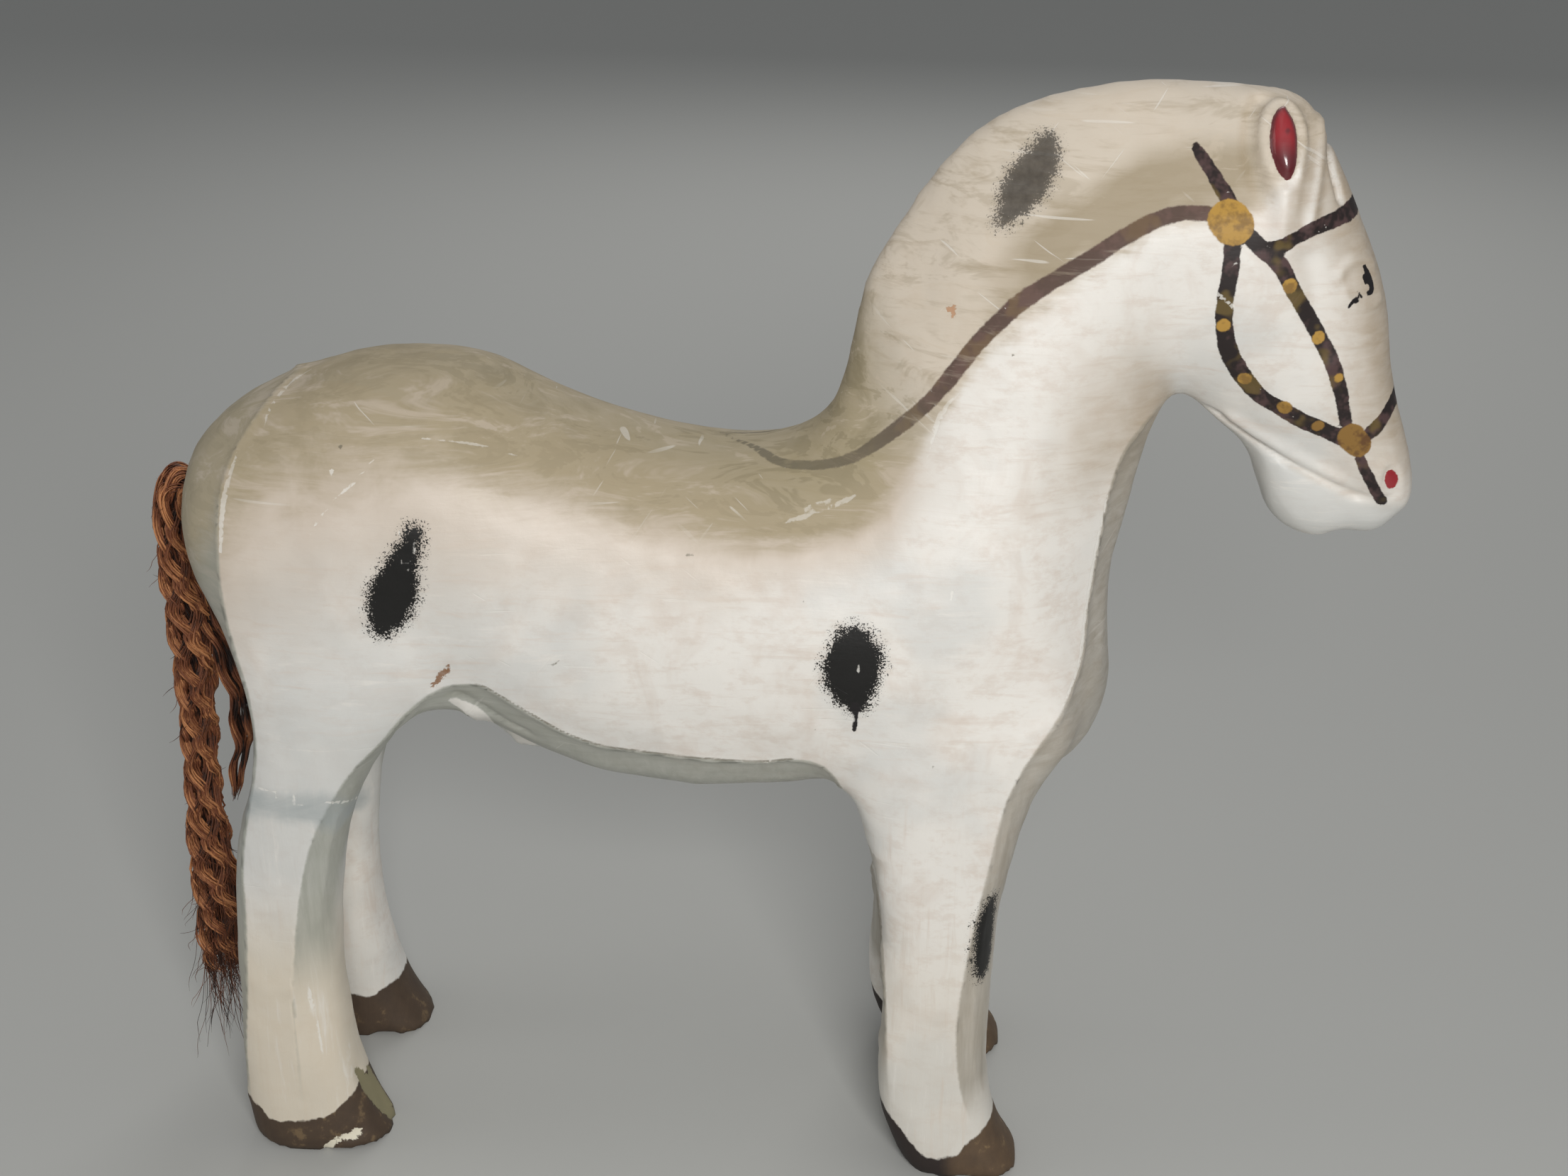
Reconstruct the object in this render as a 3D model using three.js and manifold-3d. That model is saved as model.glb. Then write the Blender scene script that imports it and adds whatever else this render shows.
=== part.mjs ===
// A standing pony cast in plaster as one piece, with a hank of crimped fibre for a tail.
// Millimetres, +Z up, head towards +X, right side towards -Y.
// The origin is on the floor, midway between the figure's ends and between its sides.
import * as THREE from "three";
import { mergeVertices } from "three/addons/utils/BufferGeometryUtils.js";
import Module from "manifold-3d";

// Driving sizes.
const height = 610; // floor to the top of the mane
const socketDiameter = 17; // hole in the rump that takes the bound end of the tail
const socketDepth = 28;
const rootClearance = 0.5; // between the bound end and the hole, all round and at its bottom
const castingFinish = { color: 0xe2dfd8, roughness: 0.42, metalness: 0 };
const fibreFinish = { color: 0x7a3a1c, roughness: 0.8, metalness: 0 };

// The form is carved in hundredths of the height.
const share = height / 100;

// Each row is one slice through trunk, neck and head, from the rump to the lips: the point
// on the top line (x, z), the point on the under line (x, z), and the half widths near the
// top, in the middle and near the bottom of the slice.
const bodySlices = [
  [-54.2, 63.6, -54.2, 62.6, 0.6, 0.6, 0.6],
  [-53.4, 66.4, -53.6, 59.0, 4.0, 5.5, 4.0],
  [-51.4, 69.2, -52.2, 54.0, 8.0, 10.4, 8.0],
  [-47.6, 71.8, -49.0, 49.0, 11.4, 12.9, 10.6],
  [-43.7, 73.5, -44.5, 46.0, 12.4, 13.7, 11.6],
  [-38.5, 75.0, -39.5, 44.6, 12.8, 14.0, 12.2],
  [-32.9, 75.5, -33.5, 44.0, 12.8, 14.0, 12.6],
  [-27.3, 74.7, -28.0, 42.2, 12.6, 13.7, 12.6],
  [-21.9, 72.2, -22.0, 39.0, 12.4, 13.4, 12.4],
  [-16.3, 70.1, -16.0, 36.9, 12.3, 13.2, 12.2],
  [-10.7, 68.7, -10.0, 36.1, 12.2, 13.1, 12.2],
  [-5.8, 68.0, -4.1, 36.2, 12.0, 13.2, 12.2],
  [-2.0, 68.4, 1.9, 36.7, 11.4, 13.4, 12.2],
  [0.7, 69.3, 8.5, 37.0, 10.2, 13.6, 12.0],
  [2.8, 71.2, 15.7, 36.8, 8.4, 13.6, 11.8],
  [4.0, 74.0, 21.6, 37.4, 6.4, 13.4, 11.4],
  [4.6, 76.9, 26.0, 40.5, 4.9, 12.8, 11.0],
  [5.2, 80.0, 28.2, 45.8, 4.0, 11.8, 10.2],
  [6.1, 83.5, 28.0, 51.5, 3.5, 10.7, 9.2],
  [7.5, 86.2, 27.9, 57.1, 3.3, 9.7, 8.2],
  [9.5, 89.6, 28.8, 62.5, 3.2, 8.9, 7.4],
  [12.0, 93.0, 29.7, 67.0, 3.2, 8.2, 6.6],
  [15.7, 96.4, 30.9, 71.0, 3.2, 7.6, 5.8],
  [20.5, 98.6, 32.0, 73.4, 3.3, 7.2, 5.2],
  [26.1, 99.8, 32.8, 73.8, 3.4, 7.0, 4.8],
  [31.8, 100.0, 33.4, 73.4, 3.6, 6.9, 4.6],
  [37.2, 99.6, 34.2, 72.9, 4.2, 7.0, 4.5],
  [41.0, 98.6, 35.4, 71.8, 4.8, 6.9, 4.5],
  [43.6, 94.9, 36.6, 70.8, 5.2, 6.6, 4.4],
  [45.9, 90.2, 38.1, 69.6, 5.3, 6.2, 4.2],
  [48.1, 85.5, 39.9, 68.6, 5.0, 5.8, 4.0],
  [49.5, 81.0, 41.5, 67.8, 4.4, 5.2, 3.8],
  [50.3, 76.7, 43.6, 66.8, 3.9, 4.7, 3.6],
  [51.3, 72.6, 45.6, 65.8, 3.6, 4.3, 3.4],
  [52.4, 69.4, 47.8, 64.8, 3.4, 4.1, 3.2],
  [53.1, 66.8, 49.7, 64.1, 3.2, 3.7, 3.0],
  [53.1, 64.7, 51.3, 63.7, 2.2, 2.7, 2.0],
  [52.8, 63.8, 52.4, 63.6, 0.4, 0.4, 0.4],
];
// The lower jaw, narrower than the cheeks that overhang it, from the throat to the lip.
const jawSlices = [
  [36.6, 75.0, 35.8, 73.4, 0.6, 1.0, 0.6],
  [38.6, 75.4, 37.2, 70.9, 2.0, 2.8, 1.8],
  [40.8, 74.4, 38.9, 68.5, 2.6, 3.4, 2.4],
  [42.8, 72.8, 39.9, 65.8, 2.8, 3.6, 2.8],
  [44.4, 71.4, 41.0, 63.3, 2.8, 3.6, 3.0],
  [46.0, 70.2, 43.1, 61.5, 2.8, 3.6, 3.0],
  [47.6, 69.4, 45.6, 60.8, 2.8, 3.5, 2.9],
  [48.8, 68.7, 47.4, 61.5, 2.6, 3.4, 2.7],
  [50.2, 68.0, 49.5, 61.2, 2.4, 3.3, 2.6],
  [51.4, 67.3, 51.4, 62.2, 2.0, 2.9, 2.2],
  [52.0, 66.0, 52.5, 64.2, 0.8, 1.2, 0.8],
];
// The sheath, a low ridge on the belly between the hind legs.
const sheathSlices = [
  [-35.5, 46.2, -35.4, 45.4, 0.4, 0.4, 0.4],
  [-33.0, 47.5, -32.6, 43.2, 1.6, 2.0, 1.6],
  [-29.0, 46.0, -29.4, 41.4, 1.9, 2.4, 1.9],
  [-26.0, 43.0, -27.0, 39.2, 2.1, 2.7, 2.1],
  [-23.2, 40.0, -24.4, 37.5, 2.0, 2.5, 2.0],
  [-21.6, 38.8, -22.0, 37.8, 0.6, 0.6, 0.6],
];
const bodySquareness = 2.5; // 2 is an ellipse, more is nearer a box
const bodySegments = 26;
const bodyRings = 74;
const jawSegments = 16;
const jawRings = 20;
const sheathSegments = 12;
const sheathRings = 10;

// Each row is one level slice through a leg: height, rear x, front x, inner y, outer y,
// and how much further back the front of the left leg is.
const foreLegSlices = [
  [60.0, 9.0, 21.0, 5.0, 9.6, 1.3],
  [54.5, 6.0, 23.6, 4.0, 12.2, 1.3],
  [49.0, 4.2, 25.0, 3.6, 13.5, 1.3],
  [45.0, 3.6, 25.2, 3.4, 14.0, 1.3],
  [42.5, 4.2, 24.0, 3.6, 14.1, 1.3],
  [40.0, 5.1, 22.2, 4.0, 14.1, 1.3],
  [36.5, 6.4, 20.9, 4.5, 14.0, 1.3],
  [33.0, 7.3, 20.1, 4.9, 13.9, 1.3],
  [29.0, 8.1, 19.4, 5.1, 13.8, 1.3],
  [25.0, 8.6, 19.0, 5.2, 13.8, 1.3],
  [20.0, 8.6, 18.7, 5.2, 13.7, 1.3],
  [15.0, 8.5, 18.5, 5.2, 13.6, 1.3],
  [10.0, 8.3, 18.7, 5.1, 13.6, 1.3],
  [6.0, 8.6, 19.3, 5.0, 13.7, 1.3],
  [3.0, 9.7, 20.3, 4.9, 13.9, 1.3],
  [0.0, 11.0, 22.2, 4.7, 14.1, 1.3],
];
const hindLegSlices = [
  [68.0, -48.0, -38.0, 4.5, 9.6, 0.0],
  [62.0, -50.5, -31.5, 3.4, 12.2, 0.0],
  [56.0, -50.5, -27.8, 3.0, 13.7, 0.0],
  [51.0, -49.4, -28.4, 3.0, 14.2, 0.0],
  [48.0, -48.4, -30.6, 3.2, 14.3, 0.0],
  [45.0, -48.0, -33.2, 3.6, 14.3, 0.0],
  [42.0, -48.0, -35.8, 4.2, 14.1, 0.0],
  [38.0, -48.6, -38.3, 4.7, 13.9, 0.2],
  [34.3, -49.8, -39.8, 5.0, 13.7, 0.4],
  [30.5, -50.6, -40.8, 5.1, 13.6, 0.6],
  [26.5, -51.0, -41.4, 5.2, 13.6, 0.8],
  [21.0, -51.4, -41.8, 5.2, 13.6, 1.0],
  [15.0, -51.7, -41.8, 5.2, 13.6, 1.0],
  [10.0, -52.0, -41.3, 5.1, 13.6, 0.9],
  [6.5, -51.9, -40.6, 5.0, 13.6, 0.8],
  [3.0, -51.8, -39.6, 4.9, 13.8, 0.5],
  [0.0, -51.6, -38.2, 4.7, 14.0, 0.0],
];
const leftForeLegStep = -1.3; // from the rear of the right foreleg to the rear of the left one
const legSquareness = 2.5;
const legSegments = 18;
const legRings = 24;

// An ear lies against the side of the head, widest above its middle.
const earCentre = [39.1, 4.5, 93.9];
const earHalfSize = [2.2, 1.8, 5.2];
const earLean = [-0.1, -0.4]; // back and inwards, for each unit of height
const earTaper = 0.25; // how much wider the top is than the middle

const tailHeight = 63.0; // floor to the socket's middle
// The tail from the socket down: outer edge (x, z), inner edge (x, z) and half width, where z
// counts from the socket's middle.
const tailBend = [
  [-55.2, 1.7, -54.8, -1.2, 1.6],
  [-56.6, 1.0, -55.0, -2.4, 2.0],
  [-57.5, -1.4, -55.2, -3.8, 2.3],
  [-58.0, -5.4, -55.0, -6.4, 2.5],
  [-58.2, -10.0, -54.4, -10.2, 2.6],
  [-58.1, -13.6, -54.2, -13.6, 2.6],
  [-58.1, -17.8, -54.7, -17.8, 2.4],
  [-58.1, -22.3, -54.9, -22.3, 2.3],
  [-58.2, -26.4, -55.0, -26.4, 2.3],
  [-58.4, -30.7, -55.2, -30.7, 2.3],
  [-58.8, -35.4, -55.3, -35.4, 2.4],
  [-58.9, -41.0, -54.8, -41.0, 2.6],
  [-58.8, -45.0, -54.8, -45.0, 2.6],
  [-59.2, -48.4, -54.9, -48.4, 2.4],
  [-58.6, -51.0, -55.4, -51.0, 1.8],
  [-57.6, -52.6, -56.2, -52.6, 0.7],
];
// The short inner lock that parts from the tail and lies towards the right thigh.
const lockBend = [
  [-56.4, -10.0, -54.0, -10.8, 0.9],
  [-55.2, -14.6, -52.8, -15.6, 1.2],
  [-53.9, -18.2, -51.7, -18.8, 1.3],
  [-53.3, -21.8, -51.2, -22.0, 1.2],
  [-53.2, -25.2, -51.2, -25.4, 1.1],
  [-53.8, -28.8, -52.2, -29.2, 0.8],
  [-54.3, -31.8, -53.6, -32.2, 0.4],
];
const tailSquareness = 2.2;
const tailSegments = 12;
const tailRings = 32;
const lockRings = 12;
const rootSegments = 24;

// A closed loop of points: a superellipse between two ends, whose half width may vary along it.
// widthAt takes 0 at the first end and 1 at the second.
function slice(start, end, across, widthAt, squareness, segments) {
  const middle = start.clone().lerp(end, 0.5);
  const half = end.clone().sub(start).multiplyScalar(0.5);
  const soften = (v) => Math.sign(v) * Math.abs(v) ** (2 / squareness);
  return Array.from({ length: segments }, (_, i) => {
    const turn = (2 * Math.PI * i) / segments;
    const along = -soften(Math.cos(turn));
    const reach = soften(Math.sin(turn)) * widthAt((1 + along) / 2);
    return middle.clone().addScaledVector(half, along).addScaledVector(across, reach);
  });
}

// A closed skin over the slices, smooth from one to the next, with a flat fan at each end.
function skin(slices, rings) {
  const segments = slices[0].length;
  const columns = slices[0].map((_, i) => new THREE.CatmullRomCurve3(slices.map((loop) => loop[i])));
  const positions = [];
  for (let ring = 0; ring <= rings; ring++)
    for (const column of columns) positions.push(...column.getPoint(ring / rings));
  const middleOf = (loop) =>
    loop.reduce((sum, p) => sum.add(p), new THREE.Vector3()).divideScalar(loop.length);
  const firstPole = positions.length / 3;
  positions.push(...middleOf(slices[0]), ...middleOf(slices[slices.length - 1]));
  const faces = [];
  const lastRing = rings * segments;
  for (let i = 0; i < segments; i++) {
    const next = (i + 1) % segments;
    for (let row = 0; row < lastRing; row += segments) {
      faces.push(row + i, row + next, row + segments + i);
      faces.push(row + next, row + segments + next, row + segments + i);
    }
    faces.push(firstPole, next, i);
    faces.push(firstPole + 1, lastRing + i, lastRing + next);
  }
  const geometry = new THREE.BufferGeometry();
  geometry.setAttribute("position", new THREE.Float32BufferAttribute(positions, 3));
  geometry.setIndex(faces);
  return geometry;
}

const point = (x, y, z) => new THREE.Vector3(x, y, z).multiplyScalar(share);
const sideways = new THREE.Vector3(0, 1, 0);

// A form that both sides share: slices between a top and an under line, in the middle plane.
function centredSkin(rows, squareness, segments, rings) {
  const slices = rows.map(([topX, topZ, underX, underZ, top, middle, bottom]) => {
    // The half width runs through the three given values.
    const width = (s) =>
      share * ((1 - s) * (1 - 2 * s) * top + 4 * s * (1 - s) * middle + s * (2 * s - 1) * bottom);
    return slice(point(topX, 0, topZ), point(underX, 0, underZ), sideways, width, squareness, segments);
  });
  return skin(slices, rings);
}

// One leg, on the side that side gives: -1 right, 1 left.
function legSkin(rows, side, rearStep = 0) {
  const slices = rows.map(([z, rear, front, inner, outer, leftBack]) => {
    const middle = (side * (inner + outer)) / 2;
    const width = () => (share * (outer - inner)) / 2;
    const back = point(rear + rearStep, middle, z);
    const ahead = point(side > 0 ? front - leftBack : front, middle, z);
    return slice(back, ahead, sideways, width, legSquareness, legSegments);
  });
  return skin(slices, legRings);
}

// One ear: a sphere drawn out, wider above, and leaning back.
function earSkin(side) {
  const ear = new THREE.SphereGeometry(1, 16, 12);
  ear.rotateX(Math.PI / 2);
  const [halfX, halfY, halfZ] = earHalfSize;
  const positions = ear.getAttribute("position");
  for (let i = 0; i < positions.count; i++) {
    const up = positions.getZ(i);
    const swell = 1 + earTaper * up;
    const x = earCentre[0] + halfX * swell * positions.getX(i) + earLean[0] * halfZ * up;
    const y = side * (earCentre[1] + earLean[1] * halfZ * up) + halfY * swell * positions.getY(i);
    positions.setXYZ(i, x * share, y * share, (earCentre[2] + halfZ * up) * share);
  }
  return ear;
}

// A lock of hair: slices across the path that its two edges give.
function lockSkin(rows, rings) {
  const slices = rows.map(([outerX, outerZ, innerX, innerZ, half]) => {
    const outer = point(outerX, 0, tailHeight + outerZ);
    const inner = point(innerX, 0, tailHeight + innerZ);
    return slice(outer, inner, sideways, () => share * half, tailSquareness, tailSegments);
  });
  return skin(slices, rings);
}

// A round bar along X that ends at the given x, used for the socket and for the tail's bound end.
function bar(diameter, length, endX) {
  const round = new THREE.CylinderGeometry(diameter / 2, diameter / 2, length, rootSegments);
  round.rotateZ(Math.PI / 2);
  round.translate(endX - length / 2, 0, tailHeight * share);
  return round;
}

const wasm = await Module();
wasm.setup();

// A closed geometry as a solid of positive volume, whichever way its skin was wound.
function solid(geometry) {
  const bare = new THREE.BufferGeometry();
  bare.setAttribute("position", geometry.getAttribute("position"));
  bare.setIndex(geometry.getIndex());
  const merged = mergeVertices(bare, 1e-3);
  const vertProperties = merged.attributes.position.array;
  const build = (triVerts) => new wasm.Manifold(new wasm.Mesh({ numProp: 3, vertProperties, triVerts }));
  const made = build(new Uint32Array(merged.index.array));
  return made.volume() > 0 ? made : build(new Uint32Array(merged.index.array).reverse());
}

// Trunk, neck, head, jaw, ears and legs as one casting, with the hole for the tail.
const rumpX = bodySlices[0][0] * share;
const socketEndX = rumpX + socketDepth;
function castHorse() {
  let casting = solid(centredSkin(bodySlices, bodySquareness, bodySegments, bodyRings));
  casting = casting.add(solid(centredSkin(jawSlices, bodySquareness, jawSegments, jawRings)));
  casting = casting.add(solid(centredSkin(sheathSlices, bodySquareness, sheathSegments, sheathRings)));
  for (const side of [-1, 1]) {
    casting = casting.add(solid(legSkin(foreLegSlices, side, side > 0 ? leftForeLegStep : 0)));
    casting = casting.add(solid(legSkin(hindLegSlices, side)));
    casting = casting.add(solid(earSkin(side)));
  }
  return casting.subtract(solid(bar(socketDiameter, 2 * socketDepth, socketEndX)));
}

// The tail: a bound end in the socket, the hanging hank and its inner lock.
function hangTail() {
  const rootDiameter = socketDiameter - 2 * rootClearance;
  const rootEndX = socketEndX - rootClearance;
  const bendX = tailBend[1][0] * share;
  const root = solid(bar(rootDiameter, rootEndX - bendX, rootEndX));
  return root.add(solid(lockSkin(tailBend, tailRings))).add(solid(lockSkin(lockBend, lockRings)));
}

function meshOf(name, shape, finish) {
  const { vertProperties, numProp, triVerts, numVert } = shape.getMesh();
  const positions = new Float32Array(numVert * 3);
  for (let i = 0; i < numVert; i++) {
    positions.set(vertProperties.subarray(i * numProp, i * numProp + 3), i * 3);
  }
  const geometry = new THREE.BufferGeometry();
  geometry.setAttribute("position", new THREE.BufferAttribute(positions, 3));
  geometry.setIndex(new THREE.BufferAttribute(triVerts, 1));
  geometry.computeVertexNormals();
  const mesh = new THREE.Mesh(geometry, new THREE.MeshStandardMaterial({ ...finish, flatShading: true }));
  mesh.name = name;
  return mesh;
}

const figure = new THREE.Group();
figure.add(meshOf("horse_body", castHorse(), castingFinish));
figure.add(meshOf("tail", hangTail(), fibreFinish));
const reach = new THREE.Box3().setFromObject(figure);
figure.position.x = -(reach.min.x + reach.max.x) / 2;

const group = new THREE.Group();
group.add(figure);
export default group;
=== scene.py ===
import math
import bpy
import bmesh
import numpy as np
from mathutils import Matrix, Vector
from mathutils.bvhtree import BVHTree


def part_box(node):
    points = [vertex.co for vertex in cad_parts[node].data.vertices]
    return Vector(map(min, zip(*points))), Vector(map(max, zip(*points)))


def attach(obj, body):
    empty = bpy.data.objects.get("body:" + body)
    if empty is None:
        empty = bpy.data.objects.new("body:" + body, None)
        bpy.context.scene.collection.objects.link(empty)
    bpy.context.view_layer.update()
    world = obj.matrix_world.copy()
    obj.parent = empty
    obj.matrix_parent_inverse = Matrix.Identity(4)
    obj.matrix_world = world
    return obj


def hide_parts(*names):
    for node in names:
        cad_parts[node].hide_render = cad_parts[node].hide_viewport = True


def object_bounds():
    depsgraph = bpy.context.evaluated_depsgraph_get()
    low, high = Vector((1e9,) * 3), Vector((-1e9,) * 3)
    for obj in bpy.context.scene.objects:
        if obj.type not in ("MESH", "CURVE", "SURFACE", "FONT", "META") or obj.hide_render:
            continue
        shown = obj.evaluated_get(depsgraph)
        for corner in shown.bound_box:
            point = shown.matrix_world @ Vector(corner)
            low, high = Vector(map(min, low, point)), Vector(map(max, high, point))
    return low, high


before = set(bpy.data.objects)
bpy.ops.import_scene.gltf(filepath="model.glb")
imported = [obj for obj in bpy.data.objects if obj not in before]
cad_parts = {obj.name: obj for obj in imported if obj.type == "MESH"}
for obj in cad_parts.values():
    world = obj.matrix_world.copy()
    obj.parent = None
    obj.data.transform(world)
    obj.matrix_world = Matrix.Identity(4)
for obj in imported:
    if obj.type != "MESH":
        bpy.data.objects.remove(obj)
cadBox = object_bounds()

# A painted plaster pony with a fibre tail. The carver's measure is a hundredth of the height, the
# brush marks are placed by the pixels of the photograph, and both land on the same surface.
figure = {
    "height": 0.610,  # m, floor to the top of the mane
    "forward": 0.01831,  # m, from the carver's middle to the middle of the length
    "voxel": 0.0036,  # m, how fine the plaster's skin is made, before the head and the edges are made finer
    "bodySquareness": 2.5,
    "legSquareness": 2.7,
    # Where the legs' joints to the trunk are filled out (m): out from the middle plane, and in height
    "jointOut": (0.035, 0.055), "jointFoot": (0.22, 0.27), "jointTop": (0.43, 0.47),
    "fineBand": 0.0055,  # m, to each side of an edge, where the skin is made finer
    "fineHead": (0.215, 0.362),  # m, the head lies beyond this x and above this z
    # The surface's unevenness: its height and length (m), how many waves, and the seed
    "unevenness": ((0.00035, 0.055, 30, 3), (0.00012, 0.017, 40, 4)),
}
share = figure["height"] / 100

seenFrom = {
    "place": (0.0840, -1.0987, 0.8229),  # m, where the photograph was taken from
    "downwards": 24.11,  # degrees below level
    "turned": 3.75,  # degrees to the left of straight across
    "focal": 3100.0,  # in the photograph's pixels
    "size": (2212, 1659),  # the photograph's pixels
    "sensor": 36.0,  # mm
}

# Each row: top line x, z, under line x, z, and the half widths near the top, in the middle and below.
bodySlices = [
    [-54.2, 63.6, -54.2, 62.6, 0.6, 0.6, 0.6],
    [-53.4, 66.4, -53.6, 59.0, 4.0, 5.5, 4.0],
    [-51.4, 69.2, -52.2, 54.0, 8.0, 10.4, 8.0],
    [-47.6, 71.8, -49.0, 49.0, 11.4, 12.9, 10.6],
    [-43.7, 73.5, -44.5, 46.0, 12.4, 13.7, 11.6],
    [-38.5, 75.0, -39.5, 44.6, 12.8, 14.0, 12.2],
    [-32.9, 75.5, -33.5, 44.0, 12.8, 14.0, 12.6],
    [-27.3, 74.7, -28.0, 42.2, 12.6, 13.7, 12.6],
    [-21.9, 72.2, -22.0, 39.0, 12.4, 13.4, 12.4],
    [-16.3, 70.1, -16.0, 36.9, 12.3, 13.2, 12.2],
    [-10.7, 68.7, -10.0, 36.1, 12.2, 13.1, 12.2],
    [-5.8, 68.0, -4.1, 36.2, 12.0, 13.2, 12.2],
    [-2.0, 68.4, 1.9, 36.7, 11.4, 13.4, 12.2],
    [0.7, 69.3, 8.5, 37.0, 10.2, 13.6, 12.0],
    [2.8, 71.2, 15.7, 36.8, 8.4, 13.6, 11.8],
    [4.0, 74.0, 21.6, 37.4, 6.4, 13.4, 11.4],
    [4.6, 76.9, 26.0, 40.5, 4.9, 12.8, 11.0],
    [5.2, 80.0, 28.2, 45.8, 4.0, 11.8, 10.2],
    [6.1, 83.5, 28.0, 51.5, 3.5, 10.7, 9.2],
    [7.5, 86.2, 27.9, 57.1, 3.3, 9.7, 8.2],
    [9.5, 89.6, 28.8, 62.5, 3.2, 8.9, 7.4],
    [12.0, 93.0, 29.7, 67.0, 3.2, 8.2, 6.6],
    [15.7, 96.4, 30.9, 71.0, 3.2, 7.6, 5.8],
    [20.5, 98.6, 32.0, 73.4, 3.3, 7.2, 5.2],
    [26.1, 99.8, 32.8, 73.8, 3.4, 7.0, 4.8],
    [31.8, 100.0, 33.4, 73.4, 3.6, 6.9, 4.6],
    [37.2, 99.6, 34.2, 72.9, 4.2, 7.0, 4.5],
    [41.0, 98.6, 35.4, 71.8, 4.8, 6.9, 4.5],
    [43.6, 94.9, 36.6, 70.8, 5.2, 6.6, 4.4],
    [45.9, 90.2, 38.1, 69.6, 5.3, 6.2, 4.2],
    [48.1, 85.5, 39.9, 68.6, 5.0, 5.8, 4.0],
    [49.5, 81.0, 41.5, 67.8, 4.4, 5.2, 3.8],
    [50.3, 76.7, 43.6, 66.8, 3.9, 4.7, 3.6],
    [51.3, 72.6, 45.6, 65.8, 3.6, 4.3, 3.4],
    [52.4, 69.4, 47.8, 64.8, 3.4, 4.1, 3.2],
    [53.1, 66.8, 49.7, 64.1, 3.2, 3.7, 3.0],
    [53.1, 64.7, 51.3, 63.7, 2.2, 2.7, 2.0],
    [52.8, 63.8, 52.4, 63.6, 0.4, 0.4, 0.4],
]
jawSlices = [
    [36.6, 75.0, 35.8, 73.4, 0.6, 1.0, 0.6],
    [38.6, 75.4, 37.2, 70.9, 2.0, 2.8, 1.8],
    [40.8, 74.4, 38.9, 68.5, 2.6, 3.4, 2.4],
    [42.8, 72.8, 39.9, 65.8, 2.8, 3.6, 2.8],
    [44.4, 71.4, 41.0, 63.3, 2.8, 3.6, 3.0],
    [46.0, 70.2, 43.1, 61.5, 2.8, 3.6, 3.0],
    [47.6, 69.4, 45.6, 60.8, 2.8, 3.5, 2.9],
    [48.8, 68.7, 47.4, 61.5, 2.6, 3.4, 2.7],
    [50.2, 68.0, 49.5, 61.2, 2.4, 3.3, 2.6],
    [51.4, 67.3, 51.4, 62.2, 2.0, 2.9, 2.2],
    [52.0, 66.0, 52.5, 64.2, 0.8, 1.2, 0.8],
]
sheathSlices = [
    [-35.5, 46.2, -35.4, 45.4, 0.4, 0.4, 0.4],
    [-33.0, 47.5, -32.6, 43.2, 1.6, 2.0, 1.6],
    [-29.0, 46.0, -29.4, 41.4, 1.9, 2.4, 1.9],
    [-26.0, 43.0, -27.0, 39.2, 2.1, 2.7, 2.1],
    [-23.2, 40.0, -24.4, 37.5, 2.0, 2.5, 2.0],
    [-21.6, 38.8, -22.0, 37.8, 0.6, 0.6, 0.6],
]
# Each row: height, rear x, front x, inner y, outer y, and how much further back the left front is.
foreLegSlices = [
    [60.0, 9.0, 21.0, 5.0, 9.6, 1.3],
    [54.5, 6.0, 23.6, 4.0, 12.2, 1.3],
    [49.0, 4.2, 25.0, 3.6, 13.5, 1.3],
    [45.0, 3.6, 25.2, 3.4, 14.0, 1.3],
    [42.5, 4.2, 24.0, 3.6, 14.1, 1.3],
    [40.0, 5.1, 22.2, 4.0, 14.1, 1.3],
    [36.5, 6.4, 20.9, 4.5, 14.0, 1.3],
    [33.0, 7.3, 20.1, 4.9, 13.9, 1.3],
    [29.0, 8.1, 19.4, 5.1, 13.8, 1.3],
    [25.0, 8.6, 19.0, 5.2, 13.8, 1.3],
    [20.0, 8.6, 18.7, 5.2, 13.7, 1.3],
    [15.0, 8.5, 18.5, 5.2, 13.6, 1.3],
    [10.0, 8.3, 18.7, 5.1, 13.6, 1.3],
    [6.0, 8.6, 19.3, 5.0, 13.7, 1.3],
    [3.0, 9.7, 20.3, 4.9, 13.9, 1.3],
    [0.0, 11.0, 22.2, 4.7, 14.1, 1.3],
]
hindLegSlices = [
    [68.0, -48.0, -38.0, 4.5, 9.6, 0.0],
    [62.0, -50.5, -31.5, 3.4, 12.2, 0.0],
    [56.0, -50.5, -27.8, 3.0, 13.7, 0.0],
    [51.0, -49.4, -28.4, 3.0, 14.2, 0.0],
    [48.0, -48.4, -30.6, 3.2, 14.3, 0.0],
    [45.0, -48.0, -33.2, 3.6, 14.3, 0.0],
    [42.0, -48.0, -35.8, 4.2, 14.1, 0.0],
    [38.0, -48.6, -38.3, 4.7, 13.9, 0.2],
    [34.3, -49.8, -39.8, 5.0, 13.7, 0.4],
    [30.5, -50.6, -40.8, 5.1, 13.6, 0.6],
    [26.5, -51.0, -41.4, 5.2, 13.6, 0.8],
    [21.0, -51.4, -41.8, 5.2, 13.6, 1.0],
    [15.0, -51.7, -41.8, 5.2, 13.6, 1.0],
    [10.0, -52.0, -41.3, 5.1, 13.6, 0.9],
    [6.5, -51.9, -40.6, 5.0, 13.6, 0.8],
    [3.0, -51.8, -39.6, 4.9, 13.8, 0.5],
    [0.0, -51.6, -38.2, 4.7, 14.0, 0.0],
]
leftForeLegStep = -1.3
ear = {
    "centre": (39.1, 4.5, 93.9),
    "halfSize": (2.2, 1.8, 5.2),
    "lean": (-0.1, -0.4),  # back and inwards for each unit of height
    "taper": 0.25,
}
tailSocket = {"height": 63.0, "diameter": 0.017, "depth": 0.028, "clearance": 0.0005}


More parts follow.
